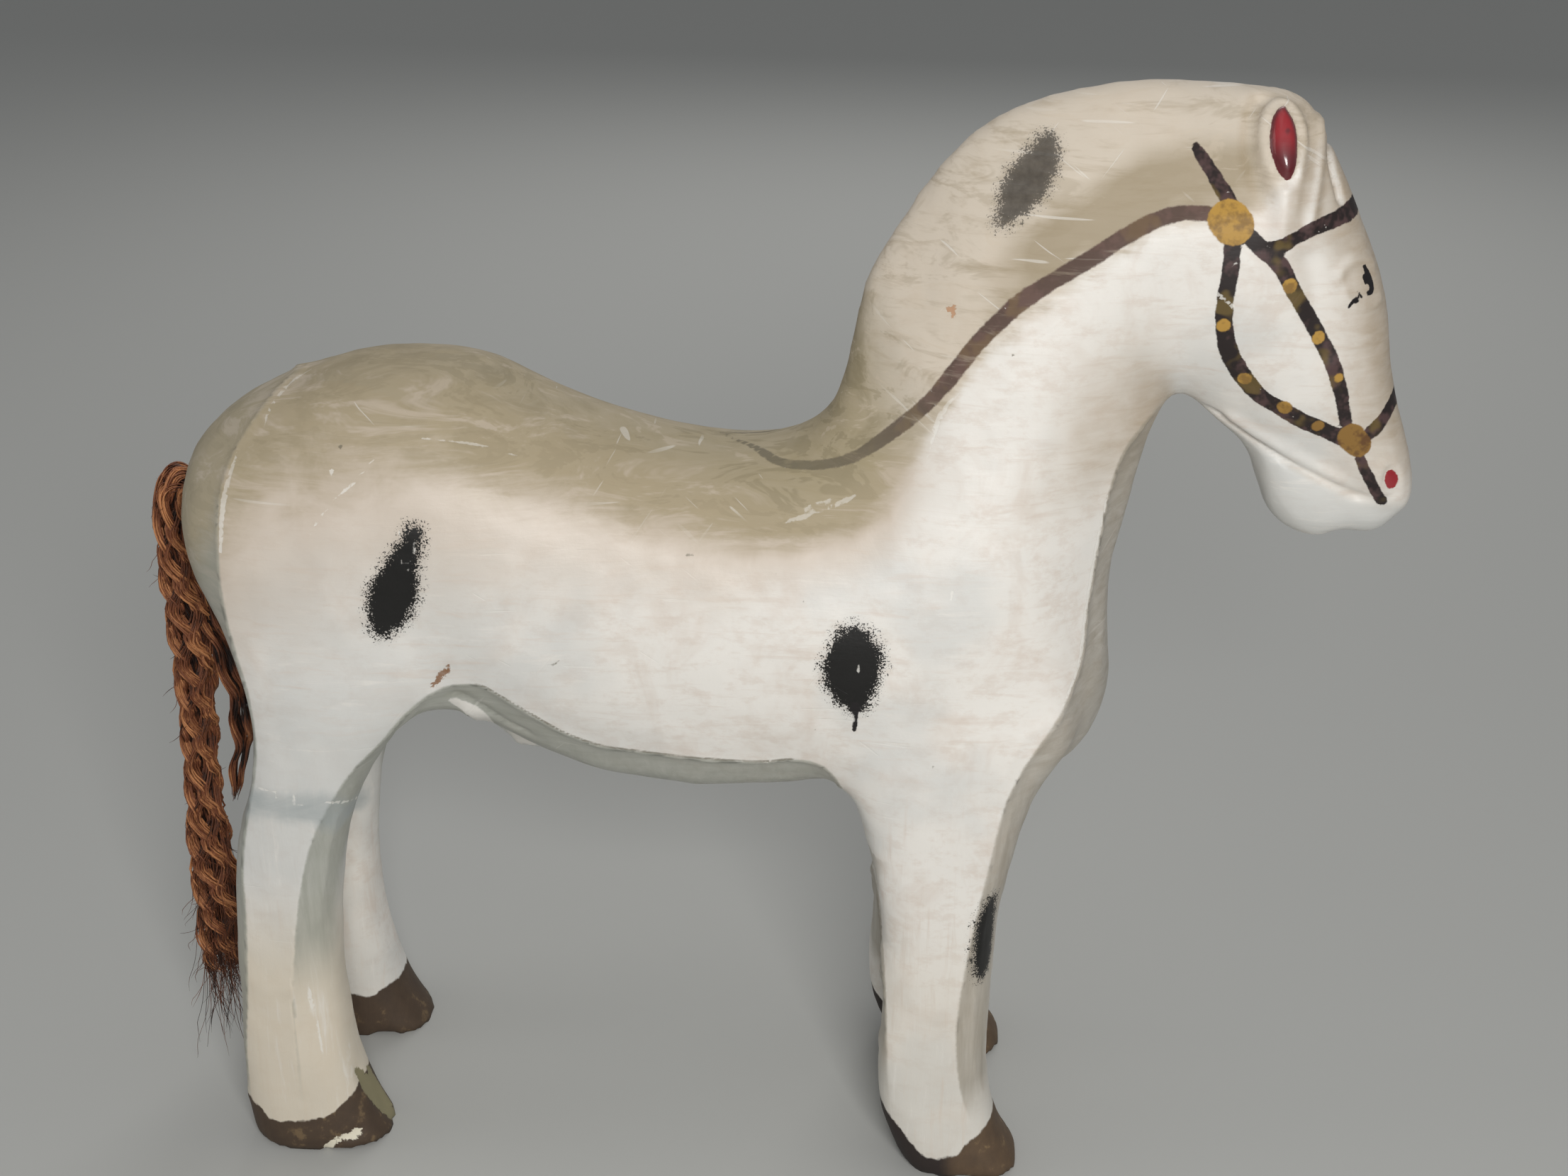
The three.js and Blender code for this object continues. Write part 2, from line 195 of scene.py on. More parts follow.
def smooth(low, high, value):
    # 0 below low, 1 above high, and an S between them: t squared times 3 less 2t
    t = np.clip((value - low) / (high - low), 0, 1)
    return t * t * (3 - 2 * t)


def window(value, rising, falling):
    # 0 outside and 1 inside: up over the first pair of values and down over the second
    return smooth(*rising, value) * (1 - smooth(*falling, value))


def through(rows, count):
    # A smooth curve through each column of points: between two knots, spaced by the root of their
    # distance, a cubic whose slopes come from the neighbours
    rows = np.asarray(rows, float)
    t = np.linspace(0, len(rows) - 1, count)
    k = np.minimum(t.astype(int), len(rows) - 2)
    u = (t - k).reshape(-1, *[1] * (rows.ndim - 1))
    padded = np.concatenate([[2 * rows[0] - rows[1]], rows, [2 * rows[-1] - rows[-2]]])
    a, b, c, d = (padded[k + i] for i in range(4))
    steps = [q - p for p, q in ((a, b), (b, c), (c, d))]
    gap = [np.sqrt(np.linalg.norm(step, axis=-1, keepdims=True)) + 1e-9 for step in steps]
    m1 = ((b - a) / gap[0] - (c - a) / (gap[0] + gap[1]) + (c - b) / gap[1]) * gap[1]
    m2 = ((c - b) / gap[1] - (d - b) / (gap[1] + gap[2]) + (d - c) / gap[2]) * gap[1]
    return b + m1 * u + (3 * (c - b) - 2 * m1 - m2) * u**2 + (2 * (b - c) + m1 + m2) * u**3


def loops(first, last, halfWidth, squareness, segments):
    # Superellipses: from first to last by minus cos(turn), sideways by sin(turn), each raised to
    # 2 / squareness, and the half width is a function of how far down the slice the point lies
    turn = 2 * np.pi * np.arange(segments) / segments
    soft = lambda v: np.sign(v) * np.abs(v) ** (2 / squareness)
    along, reach = -soft(np.cos(turn)), soft(np.sin(turn))
    middle, half = (first + last) / 2, (last - first) / 2
    ring = middle[:, None] + half[:, None] * along[None, :, None]
    ring[:, :, 1] += reach * halfWidth((1 + along[None, :]) / 2)
    return ring


def skin(rings):
    # One closed surface over rings of equal length: a quad between neighbours and a fan at each end
    count, segments = rings.shape[:2]
    grid = np.arange(count * segments).reshape(count, segments)
    ahead = np.roll(grid, -1, axis=1)
    quads = np.stack([grid[:-1], ahead[:-1], ahead[1:], grid[1:]], axis=-1).reshape(-1, 4)
    poles = np.array([count * segments, count * segments + 1])
    fans = [np.stack([np.full(segments, poles[0]), ahead[0], grid[0]], axis=-1),
            np.stack([np.full(segments, poles[1]), grid[-1], ahead[-1]], axis=-1)]
    points = np.concatenate([rings.reshape(-1, 3), rings[[0, -1]].mean(axis=1)])
    return points, [quads, *fans]


def centred(rows, squareness, segments, rings):
    # A form that both sides share, with its half width run through the three given values
    row = np.array(rows)
    zero = np.zeros(len(row))
    first = np.stack([row[:, 0], zero, row[:, 1]], axis=-1)
    last = np.stack([row[:, 2], zero, row[:, 3]], axis=-1)
    top, middle, bottom = row[:, 4:7].T[:, :, None]
    width = lambda s: (1 - s) * (1 - 2 * s) * top + 4 * s * (1 - s) * middle + s * (2 * s - 1) * bottom
    return skin(through(loops(first, last, width, squareness, segments), rings))


def leg(rows, side, rearStep):
    # Level slices from the rear edge to the front edge of one leg
    row = np.array(rows)
    across = side * (row[:, 3] + row[:, 4]) / 2
    front = row[:, 2] - (row[:, 5] if side > 0 else 0)
    first = np.stack([row[:, 1] + rearStep, across, row[:, 0]], axis=-1)
    last = np.stack([front, across, row[:, 0]], axis=-1)
    half = ((row[:, 4] - row[:, 3]) / 2)[:, None]
    return skin(through(loops(first, last, lambda s: half + 0 * s, figure["legSquareness"], 48), 160))


def earForm(side):
    # A sphere drawn out, wider above and leaning back and inwards
    up = np.cos(np.linspace(0.001, math.pi - 0.001, 40))[::-1, None]
    turn = np.linspace(0, 2 * math.pi, 32, endpoint=False)
    girth = np.sqrt(1 - up**2)
    swell = 1 + ear["taper"] * up
    (cx, cy, cz), (hx, hy, hz) = ear["centre"], ear["halfSize"]
    x = cx + hx * swell * girth * np.cos(turn) + ear["lean"][0] * hz * up
    y = side * (cy + ear["lean"][1] * hz * up) + hy * swell * girth * np.sin(turn)
    return skin(np.stack([x, y, cz + hz * up + 0 * x], axis=-1))


def joined(parts):
    # Several skins as one list of points and faces
    points, faces, start = [], [], 0
    for pointSet, faceSets in parts:
        for faceSet in faceSets:
            faces.extend((faceSet + start).tolist())
        points.append(pointSet)
        start += len(pointSet)
    return np.concatenate(points), faces


def meshObject(name, points, faces):
    mesh = bpy.data.meshes.new(name)
    mesh.from_pydata(np.asarray(points).tolist(), [], faces)
    mesh.update()
    made = bpy.data.objects.new(name, mesh)
    bpy.context.scene.collection.objects.link(made)
    return made


def bake(piece):
    # Applies the piece's modifiers
    graph = bpy.context.evaluated_depsgraph_get()
    mesh = bpy.data.meshes.new_from_object(piece.evaluated_get(graph))
    piece.modifiers.clear()
    old, piece.data = piece.data, mesh
    bpy.data.meshes.remove(old)


def valuesOf(items, name, width, kind=np.float32):
    # One value of every vertex or edge, in rows
    values = np.empty(len(items) * width, kind)
    items.foreach_get(name, values)
    return values.reshape(-1, width)


def surfaceOf(mesh):
    # The places and the normals of a mesh's vertices
    points = valuesOf(mesh.vertices, "co", 3).astype(float)
    return points, valuesOf(mesh.vertex_normals, "vector", 3).astype(float)


def edgesOf(mesh):
    return valuesOf(mesh.edges, "vertices", 2, np.int32)


def setPlaces(mesh, points):
    mesh.vertices.foreach_set("co", points.astype(np.float32).ravel())
    mesh.update()


def neighbourMean(values, ends, count):
    # The mean over each vertex's neighbours
    total = np.zeros_like(values)
    for column in range(values.shape[1]):
        for a, b in ((0, 1), (1, 0)):
            total[:, column] += np.bincount(ends[:, a], values[ends[:, b], column], count)
    neighbours = np.bincount(ends.ravel(), minlength=count)[:, None]
    return total / np.maximum(neighbours, 1)


def relax(mesh, passes, outward, inward, where=None):
    # Each pass moves a vertex towards its neighbours' mean, by one part where that leads outwards,
    # which fills creases, and by another part where it leads inwards
    setPlaces(mesh, surfaceOf(mesh)[0])
    points, normals = surfaceOf(mesh)
    ends, count = edgesOf(mesh), len(points)
    for step in range(passes):
        if step % 8 == 7:
            setPlaces(mesh, points)
            normals = surfaceOf(mesh)[1]
        pull = neighbourMean(points, ends, count) - points
        rise = (pull * normals).sum(axis=1)
        part = np.where(rise > 0, outward, inward)
        part = part if where is None else part * where
        points = points + pull * part[:, None]
    setPlaces(mesh, points)


# The camera's own axes, and the way between a pixel of the photograph and the surface.
pitch, yaw = math.radians(seenFrom["downwards"]), math.radians(seenFrom["turned"])
eye = np.array(seenFrom["place"])
ahead = np.array([-math.sin(yaw) * math.cos(pitch), math.cos(yaw) * math.cos(pitch), -math.sin(pitch)])
rightward = np.array([math.cos(yaw), math.sin(yaw), 0.0])
upward = np.cross(rightward, ahead)


def seenAt(points):
    # The pixel at which the photograph shows each point
    away = points - eye
    depth = away @ ahead
    u = seenFrom["size"][0] / 2 + seenFrom["focal"] * (away @ rightward) / depth
    v = seenFrom["size"][1] / 2 - seenFrom["focal"] * (away @ upward) / depth
    return u, v


def touch(tree, u, v):
    # Where the line of sight through a pixel meets the surface, or the place nearest to where it
    # crosses the middle plane
    across = (u - seenFrom["size"][0] / 2) / seenFrom["focal"]
    down = (v - seenFrom["size"][1] / 2) / seenFrom["focal"]
    sight = ahead + rightward * across - upward * down
    hit = tree.ray_cast(Vector(eye), Vector(sight).normalized())[0]
    if hit is None:
        hit = tree.find_nearest(Vector(eye - sight * eye[1] / sight[1]))[0]
    return np.array(hit)


def trail(tree, marks, spacing=7.0):
    # A brush mark given by pixels (u, v, radius) as points and radii on the surface
    marks = np.array([mark if len(mark) == 3 else (*mark, 1.0) for mark in marks], float)
    if len(marks) > 1:
        length = np.linalg.norm(np.diff(marks[:, :2], axis=0), axis=1).sum()
        marks = through(marks, max(len(marks), int(length / spacing) + 1))
    path = np.array([touch(tree, u, v) for u, v, _ in marks])
    return path, marks[:, 2] * ((path - eye) @ ahead) / seenFrom["focal"]


def overMiddle(tree, path, radii):
    # Leads a mark on to the middle plane, over the front of the head
    x, _, z = path[-1]
    hit = tree.ray_cast(Vector((x + 0.1, 0.0, z + 0.002)), Vector((-1, 0, 0)))[0]
    steps = np.linspace(0, 1, 5)[1:, None]
    between = path[-1] + (np.array(hit) - path[-1]) * steps
    nearest = np.array([tree.find_nearest(Vector(p))[0] for p in between])
    return np.concatenate([path, nearest]), np.concatenate([radii, np.full(4, radii[-1])])


def mirrored(tree, path):
    # The same mark on the left side
    return np.array([tree.find_nearest(Vector((x, -y, z)))[0] for x, y, z in path])


class Strokes:
    # For a set of points: the distance to the nearest mark's edge, negative inside it, the signed
    # distance from its middle line, and how far along it the nearest place is, from 0 to 1
    def __init__(self, points, normals, reach=0.03):
        self.points, self.normals, self.reach = points, normals, reach
        self.edge = np.full(len(points), reach)
        self.offset = np.full(len(points), reach)
        self.run = np.zeros(len(points))
        self.closest = np.zeros((len(points), 3))

    def add(self, path, radii, backwards=False):
        if len(path) == 1:
            path, radii = np.repeat(path, 2, axis=0) + [[0, 0, 0], [1e-6, 0, 0]], np.repeat(radii, 2)
        low, high = path.min(axis=0) - self.reach, path.max(axis=0) + self.reach
        near = np.where(((self.points > low) & (self.points < high)).all(axis=1))[0]
        p, n = self.points[near], self.normals[near]
        steps = np.linalg.norm(np.diff(path, axis=0), axis=1)
        along = np.concatenate([[0], np.cumsum(steps)]) / max(steps.sum(), 1e-9)
        for i in range(len(path) - 1):
            way = path[i + 1] - path[i]
            t = np.clip(((p - path[i]) @ way) / max(way @ way, 1e-14), 0, 1)
            away = p - path[i] - t[:, None] * way
            distance = np.linalg.norm(away, axis=1)
            edge = distance - (radii[i] * (1 - t) + radii[i + 1] * t)
            closer = edge < self.edge[near]
            chosen = near[closer]
            side = np.sign((np.cross(way, away) * n).sum(axis=1))
            self.edge[chosen] = edge[closer]
            self.offset[chosen] = (distance * np.where(side == 0, 1, side))[closer]
            run = (along[i] * (1 - t) + along[i + 1] * t)[closer]
            self.run[chosen] = 1 - run if backwards else run
            self.closest[chosen] = (path[i] + t[:, None] * way)[closer]


def ripples(points, wavelength, count, seed):
    # A gentle unevenness: the mean of sine waves that run in many directions
    draw = np.random.default_rng(seed)
    ways = draw.normal(size=(count, 3))
    ways *= (2 * np.pi / wavelength / np.linalg.norm(ways, axis=1) * draw.uniform(0.6, 1.5, count))[:, None]
    return np.sin(points @ ways.T + draw.uniform(0, 6.28, count)).sum(axis=1) / math.sqrt(count)


# The plaster figure.
print("plaster: slices")
inPlace = lambda points: points * share + [figure["forward"], 0, 0]
square = figure["bodySquareness"]
castParts = [
    centred(bodySlices, square, 96, 300),
    centred(jawSlices, square, 48, 80),
    centred(sheathSlices, square, 32, 40),
]
for side in (-1, 1):
    castParts.append(leg(foreLegSlices, side, leftForeLegStep if side > 0 else 0))
    castParts.append(leg(hindLegSlices, side, 0))
    castParts.append(earForm(side))
castPoints, castFaces = joined(castParts)
horse = meshObject("plaster_horse", inPlace(castPoints), castFaces)
voxels = horse.modifiers.new("voxels", "REMESH")
voxels.mode = "VOXEL"
voxels.voxel_size = figure["voxel"]
bake(horse)
print("plaster: skin of", len(horse.data.vertices), "points")
relax(horse.data, 5, 0.5, 0.45)
points = surfaceOf(horse.data)[0]
# The shoulders and hips are filled out smoothly where the legs meet the trunk.
joint = smooth(*figure["jointOut"], abs(points[:, 1]))
joint *= window(points[:, 2], figure["jointFoot"], figure["jointTop"])
relax(horse.data, 160, 0.9, 0.05, joint)
relax(horse.data, 20, 0.5, 0.5, joint)

# Edges that the carver left, by pixels, with the flatter face on the right of the way that they run:
# how far the edge stands out and how soon that fades (m), and how steeply and how far that face falls away.
carvedEdges = {
    "under": {  # up the hind leg, along the belly and down the foreleg
        "marks": [(424, 1566), (418, 1480), (413, 1410), (415, 1345), (420, 1280), (432, 1212),
                  (447, 1168), (474, 1119), (501, 1082), (535, 1048), (570, 1008), (605, 979), (638, 966),
                  (678, 967), (701, 979), (749, 1007), (796, 1033), (843, 1050), (900, 1059), (985, 1069),
                  (1074, 1074), (1126, 1071), (1160, 1080), (1184, 1104), (1210, 1165), (1233, 1230),
                  (1243, 1300), (1250, 1400), (1252, 1480), (1254, 1540), (1264, 1578)],
        "rise": 0.0017, "fade": 0.007, "tilt": 0.40, "width": 0.009,
    },
    "rump": {
        "marks": [(440, 510), (400, 542), (362, 590), (330, 640), (312, 700), (309, 780), (316, 850),
                  (332, 915), (350, 975), (362, 1050), (360, 1100), (350, 1160), (344, 1220), (348, 1300),
                  (350, 1400), (349, 1480), (356, 1560)],
        "rise": 0.0015, "fade": 0.006, "tilt": 0.30, "width": 0.008,
    },
    "front": {  # up the foreleg, the chest and the throat
        "marks": [(1372, 1590), (1357, 1550), (1348, 1480), (1352, 1420), (1365, 1350), (1378, 1290),
                  (1393, 1230), (1405, 1180), (1420, 1130), (1444, 1084), (1470, 1046), (1497, 1004),
                  (1522, 935), (1532, 860), (1547, 772), (1562, 700), (1580, 645), (1610, 600),
                  (1652, 552)],
        "rise": 0.0018, "fade": 0.0065, "tilt": 0.38, "width": 0.010,
    },
}
# Lower ridges on the flat faces, which don't change their tone
faintEdges = {
    "hindFacet": {
        "marks": [(450, 1310), (456, 1250), (466, 1190), (478, 1145)],
        "rise": 0.0008, "fade": 0.004, "tilt": 0.10, "width": 0.008,
    },
    "shin": {
        "marks": [(1378, 1530), (1370, 1460), (1374, 1400), (1388, 1300), (1404, 1230), (1420, 1170),
                  (1436, 1120)],
        "rise": 0.0011, "fade": 0.005, "tilt": 0.0, "width": 0.008,
    },
    "collar": {
        "marks": [(1500, 1010), (1450, 1040), (1420, 1090), (1405, 1140)],
        "rise": 0.0008, "fade": 0.006, "tilt": 0.0, "width": 0.008,
    },
}


def surfaceTree(piece):
    bpy.context.view_layer.update()
    return BVHTree.FromObject(piece, bpy.context.evaluated_depsgraph_get())


def bothSides(strokes, tree, path, radii):
    # A mark and its mirror image
    strokes.add(path, radii)
    strokes.add(mirrored(tree, path)[::-1], radii[::-1], True)


def edgeStrokes(points, normals, tree, edges, reach=0.03):
    # The signed distance from the nearest of these edges, let go near their ends
    strokes = Strokes(points, normals, reach)
    for edge in edges:
        path, radii = trail(tree, edge["marks"])
        bothSides(strokes, tree, path, radii * 0)
    return strokes, window(strokes.run, (0, 0.07), (0.93, 1))


def carveEdge(piece, tree, edge):
    # Rise: e to the minus distance / fade. The flatter face falls by tilt * distance * e to the minus
    # distance / width. The points nearest a sharp line are drawn on to it.
    points, normals = surfaceOf(piece.data)
    strokes, ends = edgeStrokes(points, normals, tree, [edge])
    d = abs(strokes.offset)
    move = edge["rise"] * np.exp(-d / edge["fade"])
    move -= np.where(strokes.offset < 0, edge["tilt"] * d * np.exp(-d / edge["width"]), 0)
    move *= 1 - smooth(0.018, 0.029, d)
    near = (d < 0.27 * figure["voxel"]) & strokes.closest.any(axis=1) & (edge["tilt"] > 0.2)
    points = np.where(near[:, None], points + (strokes.closest - points) * ends[:, None], points)
    setPlaces(piece.data, points + normals * (move * ends)[:, None])


print("plaster: finer head and edges")
allEdges = [*carvedEdges.values(), *faintEdges.values()]
points, normals = surfaceOf(horse.data)
fineEdges = edgeStrokes(points, normals, surfaceTree(horse), allEdges)[0]
onHead = (points[:, 0] > figure["fineHead"][0]) & (points[:, 2] > figure["fineHead"][1])
chosen = (abs(fineEdges.offset) < figure["fineBand"]) | onHead
build = bmesh.new()
build.from_mesh(horse.data)
cutEdges = [e for e in build.edges if chosen[e.verts[0].index] and chosen[e.verts[1].index]]
bmesh.ops.subdivide_edges(build, edges=cutEdges, cuts=1, use_grid_fill=True)
build.to_mesh(horse.data)
build.free()
relax(horse.data, 3, 0.5, 0.5)
print("plaster: carved edges")
for edge in allEdges:
    carveEdge(horse, surfaceTree(horse), edge)
points, normals = surfaceOf(horse.data)
uneven = sum(high * ripples(points, *waves) for high, *waves in figure["unevenness"])
setPlaces(horse.data, points + normals * uneven[:, None])
print("plaster: now", len(horse.data.vertices), "points")

# Relief of the head, by pixels: grooves and ridges with their height (m) and how soon they fade (m).
headRelief = {
    "behindEar": {"marks": [(1786, 128), (1770, 150), (1763, 185), (1765, 225), (1776, 262), (1790, 300)],
                  "rise": -0.0034, "fade": 0.0048},
    "maneEnd": {"marks": [(1762, 122), (1750, 165), (1744, 210), (1748, 250), (1758, 285)],
                "rise": 0.0010, "fade": 0.005},
    "beforeEar": {"marks": [(1846, 150), (1848, 190), (1845, 235), (1838, 285), (1832, 320)],
                  "rise": -0.0005, "fade": 0.0030},
    "earFront": {"marks": [(1860, 152), (1864, 190), (1861, 240), (1852, 300), (1844, 340)],
                 "rise": 0.0018, "fade": 0.0034},
    "underEar": {"marks": [(1812, 262), (1810, 300), (1804, 345)], "rise": 0.0016, "fade": 0.004},
    "forelock": {"marks": [(1873, 165), (1876, 195), (1880, 235), (1890, 275), (1893, 296)],
                 "rise": -0.0028, "fade": 0.0024},
    "sheathTop": {"marks": [(634, 974), (655, 984), (680, 998), (705, 1014), (735, 1030), (758, 1040)],
                  "rise": -0.0022, "fade": 0.0028},
    "sheath": {"marks": [(640, 990), (662, 1003), (690, 1020), (720, 1038), (748, 1048)],
               "rise": 0.0026, "fade": 0.0045},
    "browTrough": {"marks": [(1838, 345), (1850, 400), (1864, 460), (1880, 520)],
                   "rise": -0.0012, "fade": 0.007},
    "browLine": {"marks": [(1884, 398), (1897, 378), (1918, 366), (1940, 372)],
                 "rise": 0.0012, "fade": 0.0032},
    "lidLine": {"marks": [(1890, 412), (1912, 430), (1938, 430), (1950, 415)],
                "rise": 0.0009, "fade": 0.0028},
    "cheekCrease": {"marks": [(1690, 566), (1729, 592), (1786, 632), (1833, 660), (1880, 684),
                              (1909, 698), (1944, 706)],
                    "rise": -0.0026, "fade": 0.0024},
    "cheekEdge": {"marks": [(1720, 576), (1786, 620), (1833, 647), (1880, 671), (1909, 686)],
                  "rise": 0.0018, "fade": 0.004},
    "lip": {"marks": [(1944, 706), (1958, 702), (1975, 690)], "rise": -0.0009, "fade": 0.0018},
}
print("plaster: head relief")
tree = surfaceTree(horse)
for relief in headRelief.values():
    points, normals = surfaceOf(horse.data)
    strokes = Strokes(points, normals, 0.02)
    path, radii = trail(tree, relief["marks"], 5)
    bothSides(strokes, tree, path, radii * 0)
    ends = window(strokes.run, (0, 0.12), (0.88, 1))
    bell = np.exp(-((strokes.offset / relief["fade"]) ** 2))
    setPlaces(horse.data, points + normals * (relief["rise"] * bell * ends)[:, None])

# The ear's red lining and the nostril: an almond by pixels and radii, a bead inside a rim.
earLining = [(1811, 150, 5), (1810, 160, 13), (1811, 174, 19), (1812, 192, 22), (1813, 210, 21),
             (1815, 226, 18), (1816, 240, 13), (1817, 249, 7)]
nostril = [(1961, 668, 6), (1963, 676, 10), (1963, 684, 7)]
lined = {  # m: how far each bead and its rim stand out, and the groove between them
    "beads": ((earLining, 0.0018, 0.0011), (nostril, -0.0014, 0.0004)),
    "slope": 0.005, "groove": 0.0012, "grooveWidth": 0.0011, "rimAt": 0.0040, "rimWidth": 0.0026,
}
tree = surfaceTree(horse)
points, normals = surfaceOf(horse.data)
for marks, bead, rim in lined["beads"]:
    strokes = Strokes(points, normals, 0.02)
    path, radii = trail(tree, marks, 4)
    bothSides(strokes, tree, path, radii)
    edge = strokes.edge
    move = bead * smooth(0, -lined["slope"], edge)
    move -= lined["groove"] * np.exp(-((edge / lined["grooveWidth"]) ** 2))
    taper = 1 - 0.8 * smooth(0.3, 0.95, strokes.run)
    move += rim * taper * np.exp(-(((edge - lined["rimAt"]) / lined["rimWidth"]) ** 2))
    points = points + normals * np.where(strokes.closest.any(axis=1), move, 0)[:, None]
setPlaces(horse.data, points)

# Chips knocked out of the plaster: pixels, radii, depth, and what shows in them.
chips = [
    {"marks": [(1338, 439, 4), (1344, 436, 5), (1345, 444, 4)], "depth": 0.0004, "shows": "brownChip"},
    {"marks": [(610, 968, 4), (618, 957, 5), (626, 949, 6), (633, 941, 4)],
     "depth": 0.0014, "shows": "brownChip"},
    {"marks": [(1557, 900, 2), (1556, 914, 3)], "depth": 0.0010, "shows": "brownChip"},
    {"marks": [(502, 1508, 4), (511, 1522, 10), (524, 1538, 15), (540, 1556, 16), (556, 1574, 10)],
     "depth": 0.0016, "shows": "oliveChip"},
    {"marks": [(518, 1504, 5), (527, 1522, 8), (538, 1541, 9), (548, 1558, 8)],
     "depth": 0.0006, "shows": "oliveChip"},
    {"marks": [(386, 1612, 3), (396, 1619, 5)], "depth": 0.0015, "shows": "whiteChip"},
    {"marks": [(456, 1620, 5), (468, 1614, 6), (476, 1607, 4)], "depth": 0.0022, "shows": "whiteChip"},
    {"marks": [(486, 1604, 5), (500, 1599, 7), (510, 1594, 4)], "depth": 0.0022, "shows": "whiteChip"},
]
tree = surfaceTree(horse)
for chip in chips:
    strokes = Strokes(points, normals, 0.02)
    strokes.add(*trail(tree, chip["marks"], 5))
    ragged = strokes.edge + 0.0007 * ripples(points, 0.006, 24, 11)
    points = points - normals * (chip["depth"] * (1 - smooth(-0.002, 0.0012, ragged)))[:, None]
setPlaces(horse.data, points)

print("plaster: socket for the tail")
soleDepth = 0.0012  # m, what lies lower is pressed flat on to the floor
bodyLow, bodyHigh = (np.array(corner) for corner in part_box("horse_body"))
rearX = bodyLow[0]
socketEnd = bodySlices[0][0] * share + figure["forward"] + tailSocket["depth"]
socketZ = tailSocket["height"] * share


def bar(radius, startX, endX, segments, rings):
    # Rings of one radius along X
    turn = np.linspace(0, 2 * math.pi, segments, endpoint=False)
    x = np.linspace(startX, endX, rings)[:, None] + 0 * turn
    y, z = (radius * part + 0 * x for part in (np.cos(turn), np.sin(turn)))
    return skin(np.stack([x, y, socketZ + z], axis=-1))


drillPoints, drillFaces = joined([bar(tailSocket["diameter"] / 2, rearX - 0.02, socketEnd, 40, 2)])
drill = meshObject("drill", drillPoints, drillFaces)
cut = horse.modifiers.new("socket", "BOOLEAN")
cut.operation, cut.object, cut.solver = "DIFFERENCE", drill, "MANIFOLD"
bake(horse)
bpy.data.objects.remove(drill)
points = np.clip(surfaceOf(horse.data)[0], bodyLow, bodyHigh)
points[:, 2] = np.where(points[:, 2] < soleDepth, 0, points[:, 2])
setPlaces(horse.data, points)
horse.data.shade_smooth()
print("plaster:", len(horse.data.polygons), "faces")

# Marks of the brush and the spray, by pixels and radii.
bridle = {
    "cheek": [(1739, 340, 12), (1736, 382, 12), (1729, 420, 12), (1727, 457, 12), (1732, 490, 13),
              (1748, 523, 14), (1776, 557, 13), (1805, 575, 13), (1838, 594, 13), (1871, 608, 12),
              (1892, 618, 12)],
    "front": [(1750, 322, 11), (1776, 347, 12), (1805, 373, 12), (1828, 415, 11), (1857, 467, 11),
              (1880, 514, 11), (1892, 557, 10), (1898, 596, 9)],
    "poll": [(1687, 207, 7), (1694, 218, 9), (1708, 240, 9), (1727, 272, 11), (1738, 292, 11)],
    "bit": [(1918, 646, 7), (1928, 668, 8), (1940, 692, 8), (1949, 706, 8)],
}
overHead = {
    "brow": [(1786, 352, 9), (1806, 347, 12), (1828, 336, 10), (1857, 321, 11), (1880, 311, 11),
             (1900, 301, 13)],
    "nose": [(1926, 616, 9), (1938, 606, 11), (1951, 592, 11), (1962, 572, 11), (1968, 558, 12)],
}
rein = [(1704, 301, 11), (1663, 301, 11), (1623, 314, 12), (1579, 339, 12), (1534, 368, 12),
        (1485, 397, 12), (1440, 426, 13), (1404, 459, 12), (1373, 491, 12), (1342, 531, 12),
        (1306, 571, 11), (1262, 607, 11), (1217, 638, 9), (1186, 651, 8), (1143, 656, 8), (1099, 651, 8),
        (1067, 632, 6), (1034, 618, 4), (1013, 610, 2)]
bosses = [[(1733, 310, 29), (1740, 318, 29)], [(1906, 616, 20), (1916, 628, 19)]]
studs = [(1726, 459, 10), (1756, 534, 10), (1812, 575, 11), (1859, 601, 9), (1820, 403, 11),
         (1860, 476, 10), (1889, 533, 7)]
eyeMarks = [
    [(1925, 376, 4), (1930, 388, 6), (1934, 400, 6), (1935, 410, 5), (1929, 415, 3)],
    [(1925, 390, 4), (1927, 397, 4)],
    [(1901, 435, 2), (1909, 425, 3), (1917, 418, 2)],
    [(1908, 426, 2), (1918, 427, 1)],
    [(1914, 409, 1), (1921, 419, 2)],
]
sprayDrip = [(1206, 996, 8), (1206, 1006, 5), (1205, 1018, 4), (1205, 1028, 5)]
sprayed = {
    "neck": [(1414, 312, 3), (1429, 290, 11), (1440, 271, 20), (1455, 248, 22), (1472, 224, 15),
             (1478, 200, 6)],
    "hip": [(582, 752, 4), (577, 772, 8), (567, 800, 16), (557, 832, 22), (547, 860, 21), (540, 882, 10)],
    "shoulder": [(1206, 912, 22), (1205, 932, 33), (1200, 954, 31), (1203, 978, 17), (1206, 994, 5)],
    "foreleg": [(1398, 1274, 4), (1394, 1294, 10), (1391, 1318, 14), (1389, 1346, 14), (1386, 1366, 8)],
}
